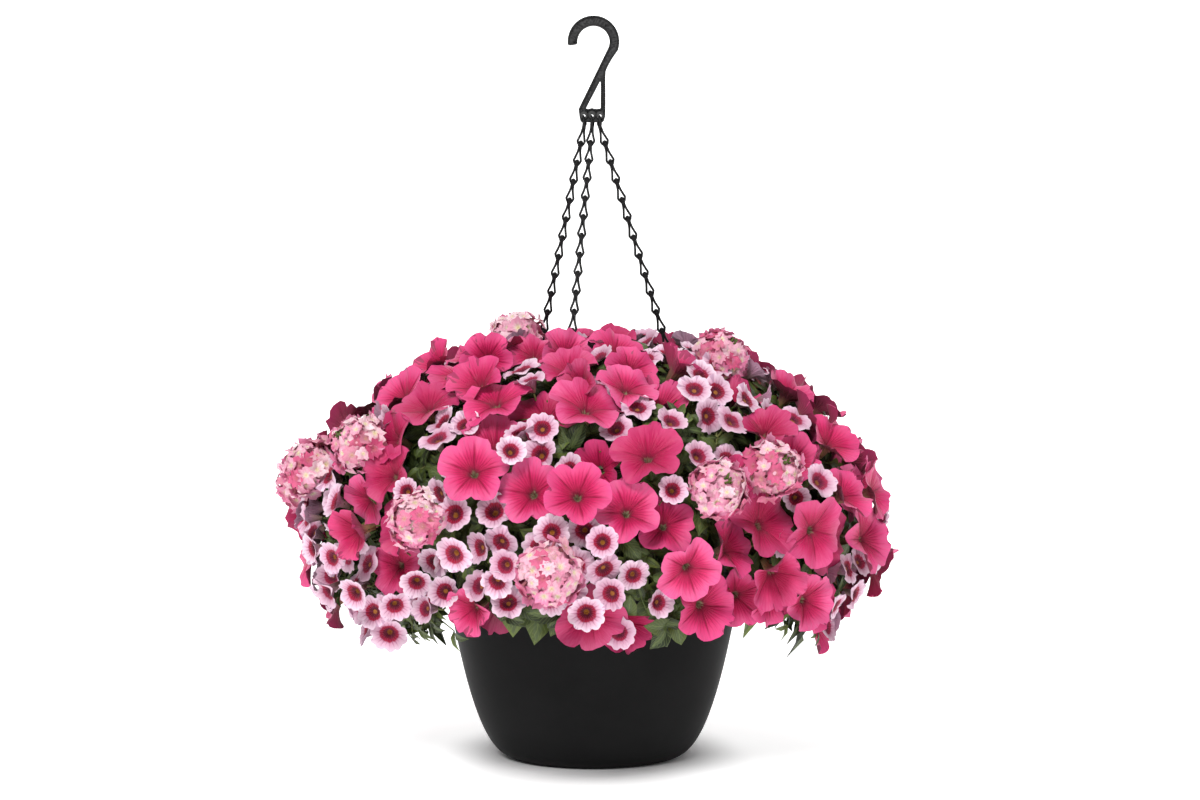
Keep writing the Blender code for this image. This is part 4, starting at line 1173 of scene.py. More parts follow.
@dataclass(frozen=True)
class BloomForm:
    """The form of a trumpet bloom, in shares of its radius."""
    front: tuple[tuple[float, float, float], ...]
    back: tuple[tuple[float, float, float], ...]
    sides: int
    notch: float
    notch_power: float
    dimple: float
    droop: float
    pleat: float
    ruffle: float
    crinkle: float
    curl: float
    cups: tuple[float, ...]
    seed: int

    def edge(self, angle: float) -> float:
        """How far the lobed rim reaches at an angle, as a share of the radius.

        Args:
            angle: the angle in radians, 0 at the tip of a lobe.

        Returns:
            The share.
        """
        away = abs((math.degrees(angle) + 36.0) % 72.0 - 36.0)
        notch = self.notch * (away / 36.0) ** self.notch_power
        return 1.015 - notch - self.dimple * math.exp(-(away / 7.0) ** 2)

    def surface(self, number: int) -> Surface:
        """Build one pattern: front from throat to rim, then the back down to the neck.

        Args:
            number: the pattern's number, which picks its cup and its ruffles.

        Returns:
            A closed surface whose mouth lies in the XY plane and whose axis is +Z.
        """
        draw = random.Random(self.seed + number)
        waves = [(k, self.ruffle * draw.uniform(0.4, 1.0) * size, draw.uniform(0.0, math.tau))
                 for k, size in ((2, 1.3), (3, 1.0), (5, 0.5), (8, 0.6), (13, 0.45))]
        lean = draw.uniform(0.0, math.tau)
        uneven = [draw.uniform(-0.070, 0.045) for _ in range(5)]
        curls = [draw.uniform(-self.curl, 0.7 * self.curl) for _ in range(5)]
        cup = self.cups[number % len(self.cups)]
        edges = [(draw.uniform(-0.7, 0.5), draw.uniform(-1.0, 1.0)) for _ in range(self.sides)]
        made = Surface()

        def point(share: float, reach: float, height: float, index: int, sunk: float) -> Vector:
            """One point of the front or the back.

            Args:
                share: the place between throat, 0, and rim, 1.
                reach: the distance from the axis.
                height: the height before waves and cup.
                index: the place round the axis.
                sunk: how far the point lies behind the front.

            Returns:
                The point.
            """
            angle = math.tau * index / self.sides
            grown = share ** 2
            lobe = int(((math.degrees(angle) + 36.0) % 360.0) // 72.0)
            out = reach * (1.0 + (self.edge(angle) - 1.0 + uneven[lobe] * 0.6) * share ** 1.5)
            rise = height + 0.62 * cup * reach ** 1.7 - self.droop * grown * math.cos(5.0 * angle)
            rise -= self.pleat * grown * math.cos(10.0 * angle)
            rise += curls[lobe] * share ** 3 * (0.5 + 0.5 * math.cos(5.0 * angle))
            for waves_round, size, phase in waves:
                rise += size * grown * math.sin(waves_round * angle + phase)
            rise += 0.05 * grown * math.cos(angle - lean)
            out *= 1.0 - 0.30 * cup * reach
            near_rim = max(share - 0.75, 0.0) * 4.0
            out *= 1.0 + self.crinkle * 0.6 * edges[index][0] * near_rim
            rise += self.crinkle * edges[index][1] * near_rim
            return polar(angle, out, rise - sunk)

        rings = [(share, made.ring(point(share, reach, height, k, 0.0) for k in range(self.sides)))
                 for share, reach, height in self.front]
        first_share, first = rings[0]
        made.fan(first[::-1], UP * (self.front[0][2] - 0.03), -5.0, first_share, 0.0, False)
        for (low, inner), (high, outer) in zip(rings, rings[1:]):
            made.band(inner, outer, 5.0, low, high)
        before_share, before = rings[-1]
        for share, reach, height in self.back:
            around = made.ring(point(share, reach, height, k, 0.022) for k in range(self.sides))
            made.band(before, around, 5.0, -before_share, -share)
            before_share, before = share, around
        made.face(before[::-1], [(0.0, -0.01)] * self.sides)
        return made


PETUNIA_FORM = BloomForm(

    front=((0.05, 0.050, -0.52), (0.14, 0.085, -0.40), (0.23, 0.135, -0.29), (0.34, 0.235, -0.205),
           (0.48, 0.400, -0.145), (0.64, 0.585, -0.085), (0.80, 0.775, -0.035), (0.91, 0.900, -0.008),
           (1.00, 1.000, 0.0)),
    back=((0.80, 0.775, -0.035), (0.64, 0.585, -0.085), (0.48, 0.400, -0.150), (0.34, 0.215, -0.260),
          (0.20, 0.140, -0.460), (0.08, 0.105, -0.820)),
    sides=50, notch=0.225, notch_power=3.2, dimple=-0.030, droop=0.085, pleat=0.030, ruffle=0.056,
    crinkle=0.028, curl=0.20, cups=(0.0, 0.12, 0.34, 0.05, 0.20, 0.55, -0.06, 0.26), seed=11)
CALIBRACHOA_FORM = BloomForm(

    front=((0.08, 0.090, -0.42), (0.22, 0.180, -0.270), (0.40, 0.340, -0.170), (0.56, 0.520, -0.100),
           (0.80, 0.790, -0.030), (1.00, 1.000, 0.0)),
    back=((0.78, 0.760, -0.035), (0.50, 0.440, -0.140), (0.30, 0.240, -0.340), (0.08, 0.130, -0.920)),
    sides=40, notch=0.150, notch_power=4.0, dimple=0.085, droop=0.030, pleat=0.024, ruffle=0.060,
    crinkle=0.032, curl=0.26, cups=(0.0, 0.14, 0.30, -0.08, 0.20), seed=31)


PLAIN_PETUNIA = replace(PETUNIA_FORM, sides=30, front=PETUNIA_FORM.front[1::2] + PETUNIA_FORM.front[-1:],
                        back=PETUNIA_FORM.back[1::2], seed=211)
PLAIN_CALIBRACHOA = replace(CALIBRACHOA_FORM, sides=30, front=CALIBRACHOA_FORM.front[1::2],
                            back=CALIBRACHOA_FORM.back[1::2], seed=231)


@dataclass(frozen=True)
class FloretForm:
    """One small floret of a head: five notched petals on a thin tube, in shares of its radius."""

    gap: float = 0.74
    shoulder: float = 1.05
    notch: float = 0.90
    tube: float = 2.1
    corners: int = 20
    seed: int = 51

    def surface(self, number: int) -> Surface:
        """Build one floret.

        Args:
            number: the pattern's number, which picks its wave and cup.

        Returns:
            A closed surface whose axis is +Z.
        """
        draw = random.Random(self.seed + number)
        cup = draw.uniform(-0.34, 0.16)
        phase = draw.uniform(0.0, math.tau)
        reaches = (self.notch, self.shoulder, self.gap, self.shoulder * 0.97)
        made = Surface()
        rim = []
        for index in range(self.corners):
            angle = math.tau * index / self.corners
            reach = reaches[index % 4] * draw.uniform(0.82, 1.12)
            rise = cup * reach + 0.15 * math.sin(3.0 * angle + phase) + draw.uniform(-0.12, 0.12)
            rim.append(polar(angle, reach, rise))
        edge = made.ring(rim)
        inner = made.ring(circle(self.corners, 0.26, -0.03 + cup * 0.1))
        made.fan(inner[::-1], UP * -0.16, -5.0, 0.25, 0.0, False)
        made.band(inner, edge, 5.0, 0.25, 1.0)
        under = made.ring(circle(self.corners, 0.17, -0.16))
        made.band(edge, under, 5.0, -1.0, -0.3)
        low = made.ring(circle(5, 0.09, -self.tube))
        for side in range(5):
            fours = [under[(side * 4 + k) % self.corners] for k in range(5)]
            made.face((*fours, low[(side + 1) % 5], low[side]), [(0.0, -0.2)] * 7)
        made.face(low[::-1], [(0.0, -0.1)] * 5)
        return made


def core_surface() -> Surface:
    """A bumpy ball of unit radius that fills a head behind its florets.

    Returns:
        A closed surface.
    """
    made = Surface()
    sides, rings = 18, 11
    circles = []
    for step in range(1, rings):
        slope = math.pi * step / rings
        spots = circle(sides, math.sin(slope), math.cos(slope))
        circles.append(made.ring(spot * (0.97 + 0.10 * noise.noise(spot * 4.0)) for spot in spots))
    made.fan(circles[0], UP, 5.0, 0.7, 0.9)
    for number, (low, high) in enumerate(zip(circles[1:], circles)):
        made.band(low, high, 5.0, 0.42 + 0.05 * (number % 2), 0.60)
    made.fan(circles[-1][::-1], -UP, 5.0, 0.5, 0.6)
    return made


@dataclass(frozen=True)
class LeafForm:
    """One blade along +X of unit length and width, with its upper face along +Z."""

    fullest: float
    root_width: float
    fold: float
    arch: float
    wave: float
    toothed: bool
    stations: int
    seed: int

    ACROSS = (-0.5, -0.25, 0.0, 0.25, 0.5)
    UNDER = (-0.5, -0.25, 0.25, 0.5)
    BACK = 0.001
    THICK = 0.014
    TOOTH = 1.28
    TIP_WIDTH = 0.012
    def surface(self, number: int) -> Surface:
        """Build one blade.

        Args:
            number: the pattern's number, which picks its waves and curl.

        Returns:
            A closed thin surface.
        """
        draw = random.Random(self.seed + number)
        phase = draw.uniform(0.0, math.tau)
        curl = self.arch * draw.uniform(0.5, 1.5)
        swing = draw.uniform(-0.06, 0.06)
        made = Surface()
        tops, bottoms, shares = [], [], []
        for station in range(self.stations):
            t = station / (self.stations - 1)
            shape = t ** self.fullest * (1.0 - t ** 2.2) * 2.0
            half = 0.5 * max(min(shape, 1.0), 0.0) + 0.5 * self.root_width * (1.0 - t)
            if self.toothed and station % 2 and 0.1 < t < 0.95:
                half *= self.TOOTH
            half = max(half, self.TIP_WIDTH)
            rise = curl * (0.35 * math.sin(math.pi * t) - 0.9 * t * t)
            bend = swing * math.sin(math.pi * t)
            top, low = [], []
            for across in (-1.0, -0.5, 0.0, 0.5, 1.0):
                up = self.fold * abs(across) * half + self.wave * math.sin(9.0 * t + phase) * across * half
                up -= 0.10 * half * across * across
                top.append(Vector((t, bend + across * half, rise + up)))
                if across in (-0.5, 0.5):
                    low.append(Vector((t, bend + across * half, rise + up - self.THICK)))
            tops.append(made.ring(top))
            bottoms.append(made.ring(low))
            shares.append(t)
        for station in range(self.stations - 1):
            here, after = tops[station], tops[station + 1]
            low, high = shares[station], shares[station + 1]
            for k, (left, right) in enumerate(zip(self.ACROSS, self.ACROSS[1:])):
                made.face((here[k], after[k], after[k + 1], here[k + 1]),
                          ((low, left), (high, left), (high, right), (low, right)))
            near = (here[0], *bottoms[station], here[4])
            far = (after[0], *bottoms[station + 1], after[4])
            low, high = -low - self.BACK, -high - self.BACK
            for k, (left, right) in enumerate(zip(self.UNDER, self.UNDER[1:])):
                made.face((near[k], near[k + 1], far[k + 1], far[k]),
                          ((low, left), (low, right), (high, right), (high, left)))
        for station, turn in ((0, 1), (-1, -1)):
            loop = [*tops[station], *reversed(bottoms[station])]
            made.face(loop[::turn], [(-shares[station] - self.BACK, 0.0)] * 7)
        return made


OVAL_LEAF = LeafForm(0.55, 0.16, 0.30, 0.20, 0.16, False, 7, 71)
LANCE_LEAF = LeafForm(0.70, 0.20, 0.24, 0.26, 0.10, False, 6, 81)
TOOTHED_LEAF = LeafForm(0.60, 0.14, 0.26, 0.22, 0.12, True, 10, 91)


def calyx_surface(number: int) -> Surface:
    """Five pointed sepals round a short cup, of unit length along +Z from the stalk.

    Args:
        number: the pattern's number, which turns its sepals.

    Returns:
        A closed surface.
    """
    draw = random.Random(101 + number)
    made = Surface()
    made.tube([UP * z for z in (-0.12, 0.0, 0.16)], [0.10, 0.21, 0.19], 8)
    for index in range(5):
        out = polar(math.tau * (index + draw.uniform(-0.1, 0.1)) / 5.0)
        side = Vector((-out.y, out.x, 0.0))
        flare = draw.uniform(0.10, 0.34)
        rings = []
        for share, half in ((0.0, 0.10), (0.35, 0.15), (0.72, 0.10), (1.0, 0.015)):
            middle = out * (0.15 + flare * share * share) + UP * (0.02 + 0.95 * share)
            rings.append(made.ring((middle - side * half, middle + out * 0.05,
                                    middle + side * half, middle - out * 0.03)))
        made.face(rings[0][::-1])
        for low, high in zip(rings, rings[1:]):
            made.band(low, high, 0.3, 0.2, 0.6)
        made.face(rings[-1])
    return made


def bud_surface(number: int) -> Surface:
    """A small pointed bud of unit length along +Z.

    Args:
        number: the pattern's number, which swells it.

    Returns:
        A closed surface.
    """
    draw = random.Random(121 + number)
    swell = draw.uniform(0.85, 1.2)
    made = Surface()
    profile = ((0.0, 0.07), (0.25, 0.15), (0.55, 0.17), (0.82, 0.10), (1.0, 0.02))
    path = [Vector((0.04 * draw.uniform(-1.0, 1.0), 0.04 * draw.uniform(-1.0, 1.0), z)) for z, _ in profile]
    made.tube(path, [width * swell for _, width in profile], 7)
    return made


class PatternBook:
    """Collections of the patterns that the trees set out, kept outside the scene."""

    GREENS = ("calyx", "bud", "oval", "lance", "toothed", "deep_oval", "deep_lance", "deep_toothed")
    VARIANTS = 4
    FLORETS = 6
    SHARP = 100.0

    def __init__(self) -> None:
        """Build every pattern once."""
        self.bloom_count = {Species.PETUNIA: 8, Species.CALIBRACHOA: 5}
        self.petunia = self.collect("petunia_blooms", [
            form.surface(n) for form in (PETUNIA_FORM, PLAIN_PETUNIA) for n in range(8)])
        self.calibrachoa = self.collect("calibrachoa_blooms", [
            form.surface(n) for form in (CALIBRACHOA_FORM, PLAIN_CALIBRACHOA) for n in range(5)])
        florets = [FloretForm().surface(n) for n in range(self.FLORETS)]
        self.florets = self.collect("florets", [*florets, core_surface()])
        leaves = (OVAL_LEAF, LANCE_LEAF, TOOTHED_LEAF)
        deep = [replace(leaf, stations=leaf.stations // 2 + 1) for leaf in leaves]
        makers = (calyx_surface, bud_surface, *(leaf.surface for leaf in (*leaves, *deep)))
        self.greens = self.collect("greens", [make(n) for make in makers for n in range(self.VARIANTS)])

    @classmethod
    def collect(cls, name: str, surfaces: Sequence[Surface]) -> Collection:
        """Put patterns into a collection of their own.

        Args:
            name: the collection's name.
            surfaces: the patterns in order.

        Returns:
            The collection.
        """
        group = bpy.data.collections.new(name)
        for number, surface in enumerate(surfaces):
            label = f"{name}_{number:02d}"
            group.objects.link(bpy.data.objects.new(label, outward(surface.mesh(label), cls.SHARP)))
        return group

    def green(self, kind: str, draw: random.Random) -> int:
        """The number of a random pattern of one kind of green part."""
        return self.GREENS.index(kind) * self.VARIANTS + draw.randrange(self.VARIANTS)


# Plants

@dataclass
class Plants:
    """Every leafy stem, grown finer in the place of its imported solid."""

    book: PatternBook
    set_out: SetOut
    growth: Growth
    seed: int = 7
    stem_radius: tuple[float, float] = (0.0019, 0.0013)
    stalk_radius: tuple[float, float] = (0.0009, 0.0011)
    leaf_kind: dict[Species, str] = field(default_factory=lambda: {
        Species.PETUNIA: "oval", Species.CALIBRACHOA: "lance", Species.VERBENA: "toothed"})
    leaf_size: dict[Species, tuple[float, float]] = field(default_factory=lambda: {
        Species.PETUNIA: (0.034, 0.019), Species.CALIBRACHOA: (0.021, 0.0085),
        Species.VERBENA: (0.030, 0.015)})
    florets_to_a_head: int = 50
    floret_share: float = 0.305
    leaf_every: float = 0.014
    gap_rays: int = 2600
    bloom_gap: float = 0.012
    leaf_gap: float = 0.018
    layers: tuple[tuple[float, float, int, float], ...] = ((0.020, 0.017, 6, 1.0), (0.046, 0.024, 5, 1.5))
    lowest: float = -0.50
    anchor_height: float = 0.195
    anchor_reach: float = 0.160
    leaf_height: float = 0.185
    bloom_span: float = 0.13
    shoot_span: float = 0.11
    chain_room: float = 0.013
    filler_radius: dict[Species, tuple[float, float]] = field(default_factory=lambda: {
        Species.PETUNIA: (0.0250, 0.0305), Species.CALIBRACHOA: (0.0155, 0.0178)})
    filler_share: dict[Species, float] = field(default_factory=lambda: {
        Species.PETUNIA: 0.66, Species.CALIBRACHOA: 0.34})
    sprays: list[Spray] = field(default_factory=list)
    chains: list[tuple[Vector, Vector]] = field(default_factory=list)

    SLOTS = {Species.PETUNIA: "petunia_pink", Species.CALIBRACHOA: "calibrachoa_pale",
             Species.VERBENA: "verbena_pink"}
    GROWN = {Species.PETUNIA: 1.06, Species.CALIBRACHOA: 1.0}
    CALYX = {Species.PETUNIA: 0.42, Species.CALIBRACHOA: 0.50}

    def read(self, nodes: dict[str, Object]) -> None:
        """Read every spray from the frame.

        Args:
            nodes: the frame's nodes by name.
        """
        words = tuple(species.value for species in Species)
        for name in sorted(nodes):
            if name.startswith(words):
                self.sprays.append(Spray.read(name, nodes[name]))
        blooms = sum(len(spray.blooms) for spray in self.sprays)
        leaves = sum(len(spray.leaves) for spray in self.sprays)
        heads = sum(spray.head is not None for spray in self.sprays)
        LOG.info("read %d sprays, %d blooms, %d leaves, %d heads", len(self.sprays), blooms, leaves, heads)

    def materials(self) -> None:
        """Make the plants' materials."""
        finishes = (PETUNIA_FINISH, CALIBRACHOA_FINISH, VERBENA_FINISH)
        self.petals = {species: finish.material() for species, finish in zip(Species, finishes)}
        self.leaf_green = LEAF_FINISH.material()
        self.stem_green = STEM_FINISH.material()

    def stalk(self, spray: Spray, bloom: BloomPlace) -> list[Vector]:
        """The way of a stalk from its joint to a bloom's neck.

        Args:
            spray: the spray that bears the bloom.
            bloom: the bloom's place.

        Returns:
            The points of the stalk.
        """
        neck = bloom.mouth - bloom.axis * (Solid.NECK[spray.species] * bloom.radius)
        span = (neck - bloom.root).length
        bend = neck - bloom.axis * (span * 0.30)
        return smooth_path([bloom.root, bloom.root.lerp(bend, 0.55), bend.lerp(neck, 0.35), neck], 3)

    def bloom_stands(self, spray: Spray, draw: random.Random) -> list[Stand]:
        """Stands for the petals of a spray.

        Args:
            spray: the spray.
            draw: the seeded draw.

        Returns:
            A stand for each bloom.
        """
        patterns = self.book.bloom_count[spray.species]
        stands = []
        for bloom in spray.blooms + spray.fillers:
            grown = bloom.radius * self.GROWN[spray.species]
            plain = patterns if bloom in spray.fillers else 0
            stands.append(Stand(bloom.mouth, turn_of(bloom.lobe, bloom.axis), (grown, grown, grown),
                                plain + draw.randrange(patterns), draw.random()))
        return stands

    def anchors(self) -> list[tuple[Vector, Spray]]:
        """Points on stems and stalks outside the pot that a new shoot may start from.

        Returns:
            Each point with its spray.
        """
        points = []
        for spray in self.sprays:
            points.extend((point, spray) for point in smooth_path(spray.path[2:], 2))
            for bloom in spray.blooms:
                points.extend((point, spray) for point in self.stalk(spray, bloom)[2:-3:2])
        return [(point, spray) for point, spray in points
                if point.z > self.anchor_height or math.hypot(point.x, point.y) > self.anchor_reach]

    def nearest(self, anchors: list[tuple[Vector, Spray]], tip: Vector) -> tuple[Vector, Spray]:
        """The anchor that a shoot to a tip grows from: near, and not further out than the tip.

        Args:
            anchors: points with their sprays.
            tip: the tip of the shoot.

        Returns:
            The anchor's point and spray.
        """
        reach = (tip - DOME_MIDDLE).length
        return min(anchors, key=lambda item: (item[0] - tip).length + 0.5 * max(
            0.0, (item[0] - DOME_MIDDLE).length - reach + 0.012))

    def fill_with_blooms(self, shell: "Shell", draw: random.Random) -> None:
        """Set more blooms a little deeper, where the dome shows a gap between its flowers.

        Args:
            shell: the dome that the flowers make, which learns each new bloom.
            draw: the seeded draw.
        """
        anchors = self.anchors()
        ways = even_directions(self.gap_rays, self.lowest)
        draw.shuffle(ways)
        count = 0
        for way in ways:
            surface = shell.reach(way)
            if shell.hit(way, surface) < self.bloom_gap:
                continue
            species = shell.species_near(way, draw, self.filler_share)
            radius = draw.uniform(*self.filler_radius[species])
            mouth = DOME_MIDDLE + way * (surface - draw.uniform(0.002, 0.012))
            if not shell.allows(mouth, 0.75 * radius) or not self.clear_of_chains(mouth, radius + 0.003):
                continue
            near = [(point, spray) for point, spray in anchors if spray.species is species]
            root, spray = self.nearest(near, mouth - way * 0.02)
            if (root - mouth).length > self.bloom_span or shell.crowded(mouth, radius):
                continue
            axis = (way + shaken(draw, 0.58)).normalized()
            lobe = spread(axis, shaken(draw))[0]
            spray.fillers.append(BloomPlace(mouth, axis, lobe, radius, root))
            shell.disc(mouth, axis, radius)
            shell.grow()
            count += 1
        LOG.info("more blooms: %d", count)

    def head_stands(self, head: HeadPlace, draw: random.Random) -> tuple[list[Stand], list[Stand]]:
        """Stands for a head's florets and for the green buds in its middle.

        Args:
            head: the head's place.
            draw: the seeded draw.

        Returns:
            Florets, then buds.
        """
        first, second = spread(head.axis, ASKEW)
        opened = draw.choice((1.0, 0.96, 0.925))
        florets, buds = [], []
        for index in range(self.florets_to_a_head):
            height = opened - (opened + 0.62) * (index + 0.5) / self.florets_to_a_head
            flat = math.sqrt(max(1.0 - height * height, 0.0))
            way = swung(first, second, GOLDEN_TURN * index, flat) + head.axis * height
            level = (1.07, 0.93, 1.01, 0.89)[index % 4]
            reach = head.radius * level * draw.uniform(0.95, 1.04) * (1.0 - 0.12 * abs(height))
            lean = (way + shaken(draw, 0.32)).normalized()
            size = head.radius * self.floret_share * draw.uniform(0.82, 1.30) / level
            spin = shaken(draw)
            patch = 0.5 + 0.9 * noise.noise(way * 1.7 + head.centre * 9.0)
            # Each floret's tint: higher on the upper side of the head, in patches and at random; a higher
            # tint makes its rim paler.
            floret_tint = max(0.0, min(1.0, 0.32 * way.z + 0.60 * patch + 0.70 * draw.random() - 0.20))
            florets.append(Stand(head.centre + way * reach, turn_of(spin, lean), (size, size, size),
                                 draw.randrange(PatternBook.FLORETS), floret_tint))
        core = head.radius * 0.84
        florets.append(Stand(head.centre, turn_of(first, head.axis), (core, core, core * 0.92),
                             PatternBook.FLORETS, 0.2))
        for index in range(8 if opened < 0.99 else 0):
            flat = 0.22 * math.sqrt((index + 0.5) / 8.0)
            way = (swung(first, second, GOLDEN_TURN * index, flat) + head.axis).normalized()
            size = head.radius * draw.uniform(0.26, 0.40)
            spin = shaken(draw)
            buds.append(Stand(head.centre + way * (head.radius * 0.58), turn_of(spin, way),
                              (size, size, size), self.book.green("bud", draw), draw.uniform(0.6, 1.0)))
        return florets, buds

    def clear_of_chains(self, place: Vector, room: float | None = None) -> bool:
        """Whether a place keeps off every chain, by the usual room or a given one.

        Args:
            place: the place.
            room: the room, or None for the usual one.

        Returns:
            True where it keeps off them all.
        """
        for low, high in self.chains:
            way = high - low
            share = max(0.0, min(1.0, (place - low).dot(way) / way.length_squared))
            if (place - low - way * share).length < (self.chain_room if room is None else room):
                return False
        return True

    def free_leaf(self, root: Vector, way: Vector, length: float) -> bool:
        """Whether a leaf would keep off the chains and out of the blooms' mouths."""
        spots = [root + way * (length * share) for share in (0.4, 0.7, 1.0)]
        return self.clear_of_chains(spots[-1]) and not any(self.shell.in_a_mouth(spot) for spot in spots)

    def leaf_stand(self, root: Vector, way: Vector, lift: Vector, kind: str, length: float, width: float,
                   draw: random.Random) -> Stand:
        """A stand for one leaf.

        Args:
            root: where the leaf grows.
            way: the way to its tip, a unit vector.
            lift: the way that its upper face looks.
            kind: the kind of leaf in the pattern book.
            length: the leaf's length.
            width: the leaf's width.
            draw: the seeded draw.

        Returns:
            The stand.
        """
        side = lift.cross(way).normalized()
        up = way.cross(side).normalized()
        size = (length, width, length)
        return Stand(root, turn_of(way, up), size, self.book.green(kind, draw), draw.random())

    def leaves_along(self, spray: Spray, path: Sequence[Vector], draw: random.Random) -> list[Stand]:
        """Leaves at even spaces along a stem or stalk, each turned a random way round it.

        Args:
            spray: the spray.
            path: the points of the stem or stalk.
            draw: the seeded draw.

        Returns:
            A stand for each leaf that has room.
        """
        kind = self.leaf_kind[spray.species]
        length, width = self.leaf_size[spray.species]
        stands = []
        run = 0.0
        for before, here in zip(path, path[1:]):
            run += (here - before).length
            if run < self.leaf_every or here.z < self.leaf_height:
                continue
            run = 0.0
            onward = (here - before).normalized()
            out = (here - DOME_MIDDLE).normalized()
            first, second = spread(onward, UP)
            way = swung(first, second, draw.uniform(0.0, math.tau))
            way = (way + onward * 0.5 + out * 0.5).normalized()
            grown = draw.uniform(0.65, 1.1)
            if self.free_leaf(here, way, length * grown):
                stands.append(self.leaf_stand(here, way, out + UP * 0.3, kind, length * grown, width * grown,
                                              draw))
        return stands

    def gap_shoots(self, shell: "Shell", draw: random.Random) -> dict[str, tuple[list, list[Stand]]]:
        """Leafy side shoots that close the gaps that still show between the flowers.

        Args:
            shell: the dome that the flowers make.
            draw: the seeded draw.

        Returns:
            Lines and leaf stands by node.
        """
        anchors = self.anchors()
        grown: dict[str, tuple[list, list[Stand]]] = {spray.node: ([], []) for spray in self.sprays}
        count = 0
        for sunk, apart, leaves, larger in self.layers:
            tips: list[Vector] = []
            for way in even_directions(self.gap_rays, self.lowest):
                surface = shell.reach(way)
                tip = DOME_MIDDLE + way * (surface - sunk)
                if not shell.allows(tip, 0.012) or not self.clear_of_chains(tip):
                    continue
                if larger == 1.0 and shell.hit(way, surface) < self.leaf_gap:
                    continue
                if any((tip - other).length < apart for other in tips):
                    continue
                start, spray = self.nearest(anchors, tip)
                span = (tip - start).length
                if span > self.shoot_span:
                    continue
                tips.append(tip)
                middle = start.lerp(tip, 0.5) + way * (0.08 * span) + UP * (0.06 * span)
                path = smooth_path([start, middle, tip], 2)
                lines, stands = grown[spray.node]
                lines.append((path, 0.0010, 0.0006))
                stands += self.rosette(spray.species, path, way, leaves, larger, draw)
            count += len(tips)
        LOG.info("leafy shoots: %d", count)
        return grown

    def rosette(self, species: Species, path: Sequence[Vector], out: Vector, leaves: int, larger: float,
                draw: random.Random) -> list[Stand]:
        """Leaves round the end of a shoot.

        Args:
            species: the kind of plant.
            path: the shoot's points.
            out: the way out of the dome.
            leaves: how many leaves.
            larger: how much larger than usual they are.
            draw: the seeded draw.

        Returns:
            A stand for each leaf that has room.
        """
        kind = ("deep_" if larger > 1.0 else "") + self.leaf_kind[species]
        length, width = (size * larger for size in self.leaf_size[species])
        turned = draw.uniform(0.0, math.tau)
        first, second = spread(out, (path[-1] - path[-2]).normalized())
        stands = []
        for index in range(leaves):
            angle = turned + math.tau * index / leaves + draw.uniform(-0.35, 0.35)
            back = path[max(0, len(path) - 1 - index // 2)]
            rise = 0.55 - 0.12 * (index // 2) + draw.uniform(-0.15, 0.2)
            blade = (swung(first, second, angle) + out * rise).normalized()
            size = draw.uniform(0.62, 0.95)
            if self.free_leaf(back, blade, length * size):
                stands.append(self.leaf_stand(back, blade, out, kind, length * size, width * size, draw))
        return stands

    def build(self) -> list[Object]:
        """Build one piece for each spray.

        Returns:
            The pieces.
        """
        self.materials()
        draw = random.Random(self.seed)
        self.shell = Shell(self.sprays)
        self.fill_with_blooms(self.shell, draw)
        self.shell.settle()
        shoots = self.gap_shoots(self.shell, draw)
        pieces = []
        for spray in self.sprays:
            stem = smooth_path(spray.path, 3)
            lines = [(stem, *self.stem_radius)]
            greens = self.leaves_along(spray, stem, draw)
            for leaf in spray.leaves:
                way = leaf.tip - leaf.root
                if self.shell.in_a_mouth(leaf.tip):
                    way *= 0.7
                kind = self.leaf_kind[spray.species]
                greens.append(self.leaf_stand(leaf.root, way.normalized(), leaf.lift, kind, way.length,
                                              leaf.width * 1.1, draw))
            for bloom in spray.blooms + spray.fillers:
                path = self.stalk(spray, bloom)
                lines.append((path, *self.stalk_radius))
                if bloom not in spray.fillers:
                    greens.extend(self.leaves_along(spray, path[1:-4], draw))
                size = bloom.radius * self.CALYX[spray.species]
                neck = path[-1] - bloom.axis * (0.02 * bloom.radius)
                greens.append(Stand(neck, turn_of(bloom.lobe, bloom.axis), (size, size, size),
                                    self.book.green("calyx", draw), draw.random()))
            lines += shoots[spray.node][0]
            greens += shoots[spray.node][1]
            parts = [self.growth.grow(spray.node + "_stems", lines, 5, self.stem_green)]
            petals = self.petals[spray.species]
            if spray.head is not None:
                florets, buds = self.head_stands(spray.head, draw)
                greens += buds
                parts.append(self.set_out.lay(spray.node + "_florets", florets, self.book.florets, petals))
            elif spray.blooms or spray.fillers:
                group = self.book.petunia if spray.species is Species.PETUNIA else self.book.calibrachoa
                stands = self.bloom_stands(spray, draw)
                parts.append(self.set_out.lay(spray.node + "_petals", stands, group, petals))
            if greens:
                parts.append(self.set_out.lay(spray.node + "_greens", greens, self.book.greens,
                                              self.leaf_green))
            parts.reverse()
            piece = joined("flowering_" + spray.node, parts)
            declare(piece, spray.node)
            pieces.append(piece)
        LOG.info("plants: %d pieces, %d triangles", len(pieces), triangles(pieces))
        return pieces


def even_directions(count: int, lowest: float) -> list[Vector]:
    """Evenly spread unit vectors above a height.

    Args:
        count: how many.
        lowest: the least height of a vector.

    Returns:
        The vectors.
    """
    heights = [1.0 - (1.0 - lowest) * (index + 0.5) / count for index in range(count)]
    return [polar(GOLDEN_TURN * index, math.sqrt(1.0 - height * height), height)
            for index, height in enumerate(heights)]


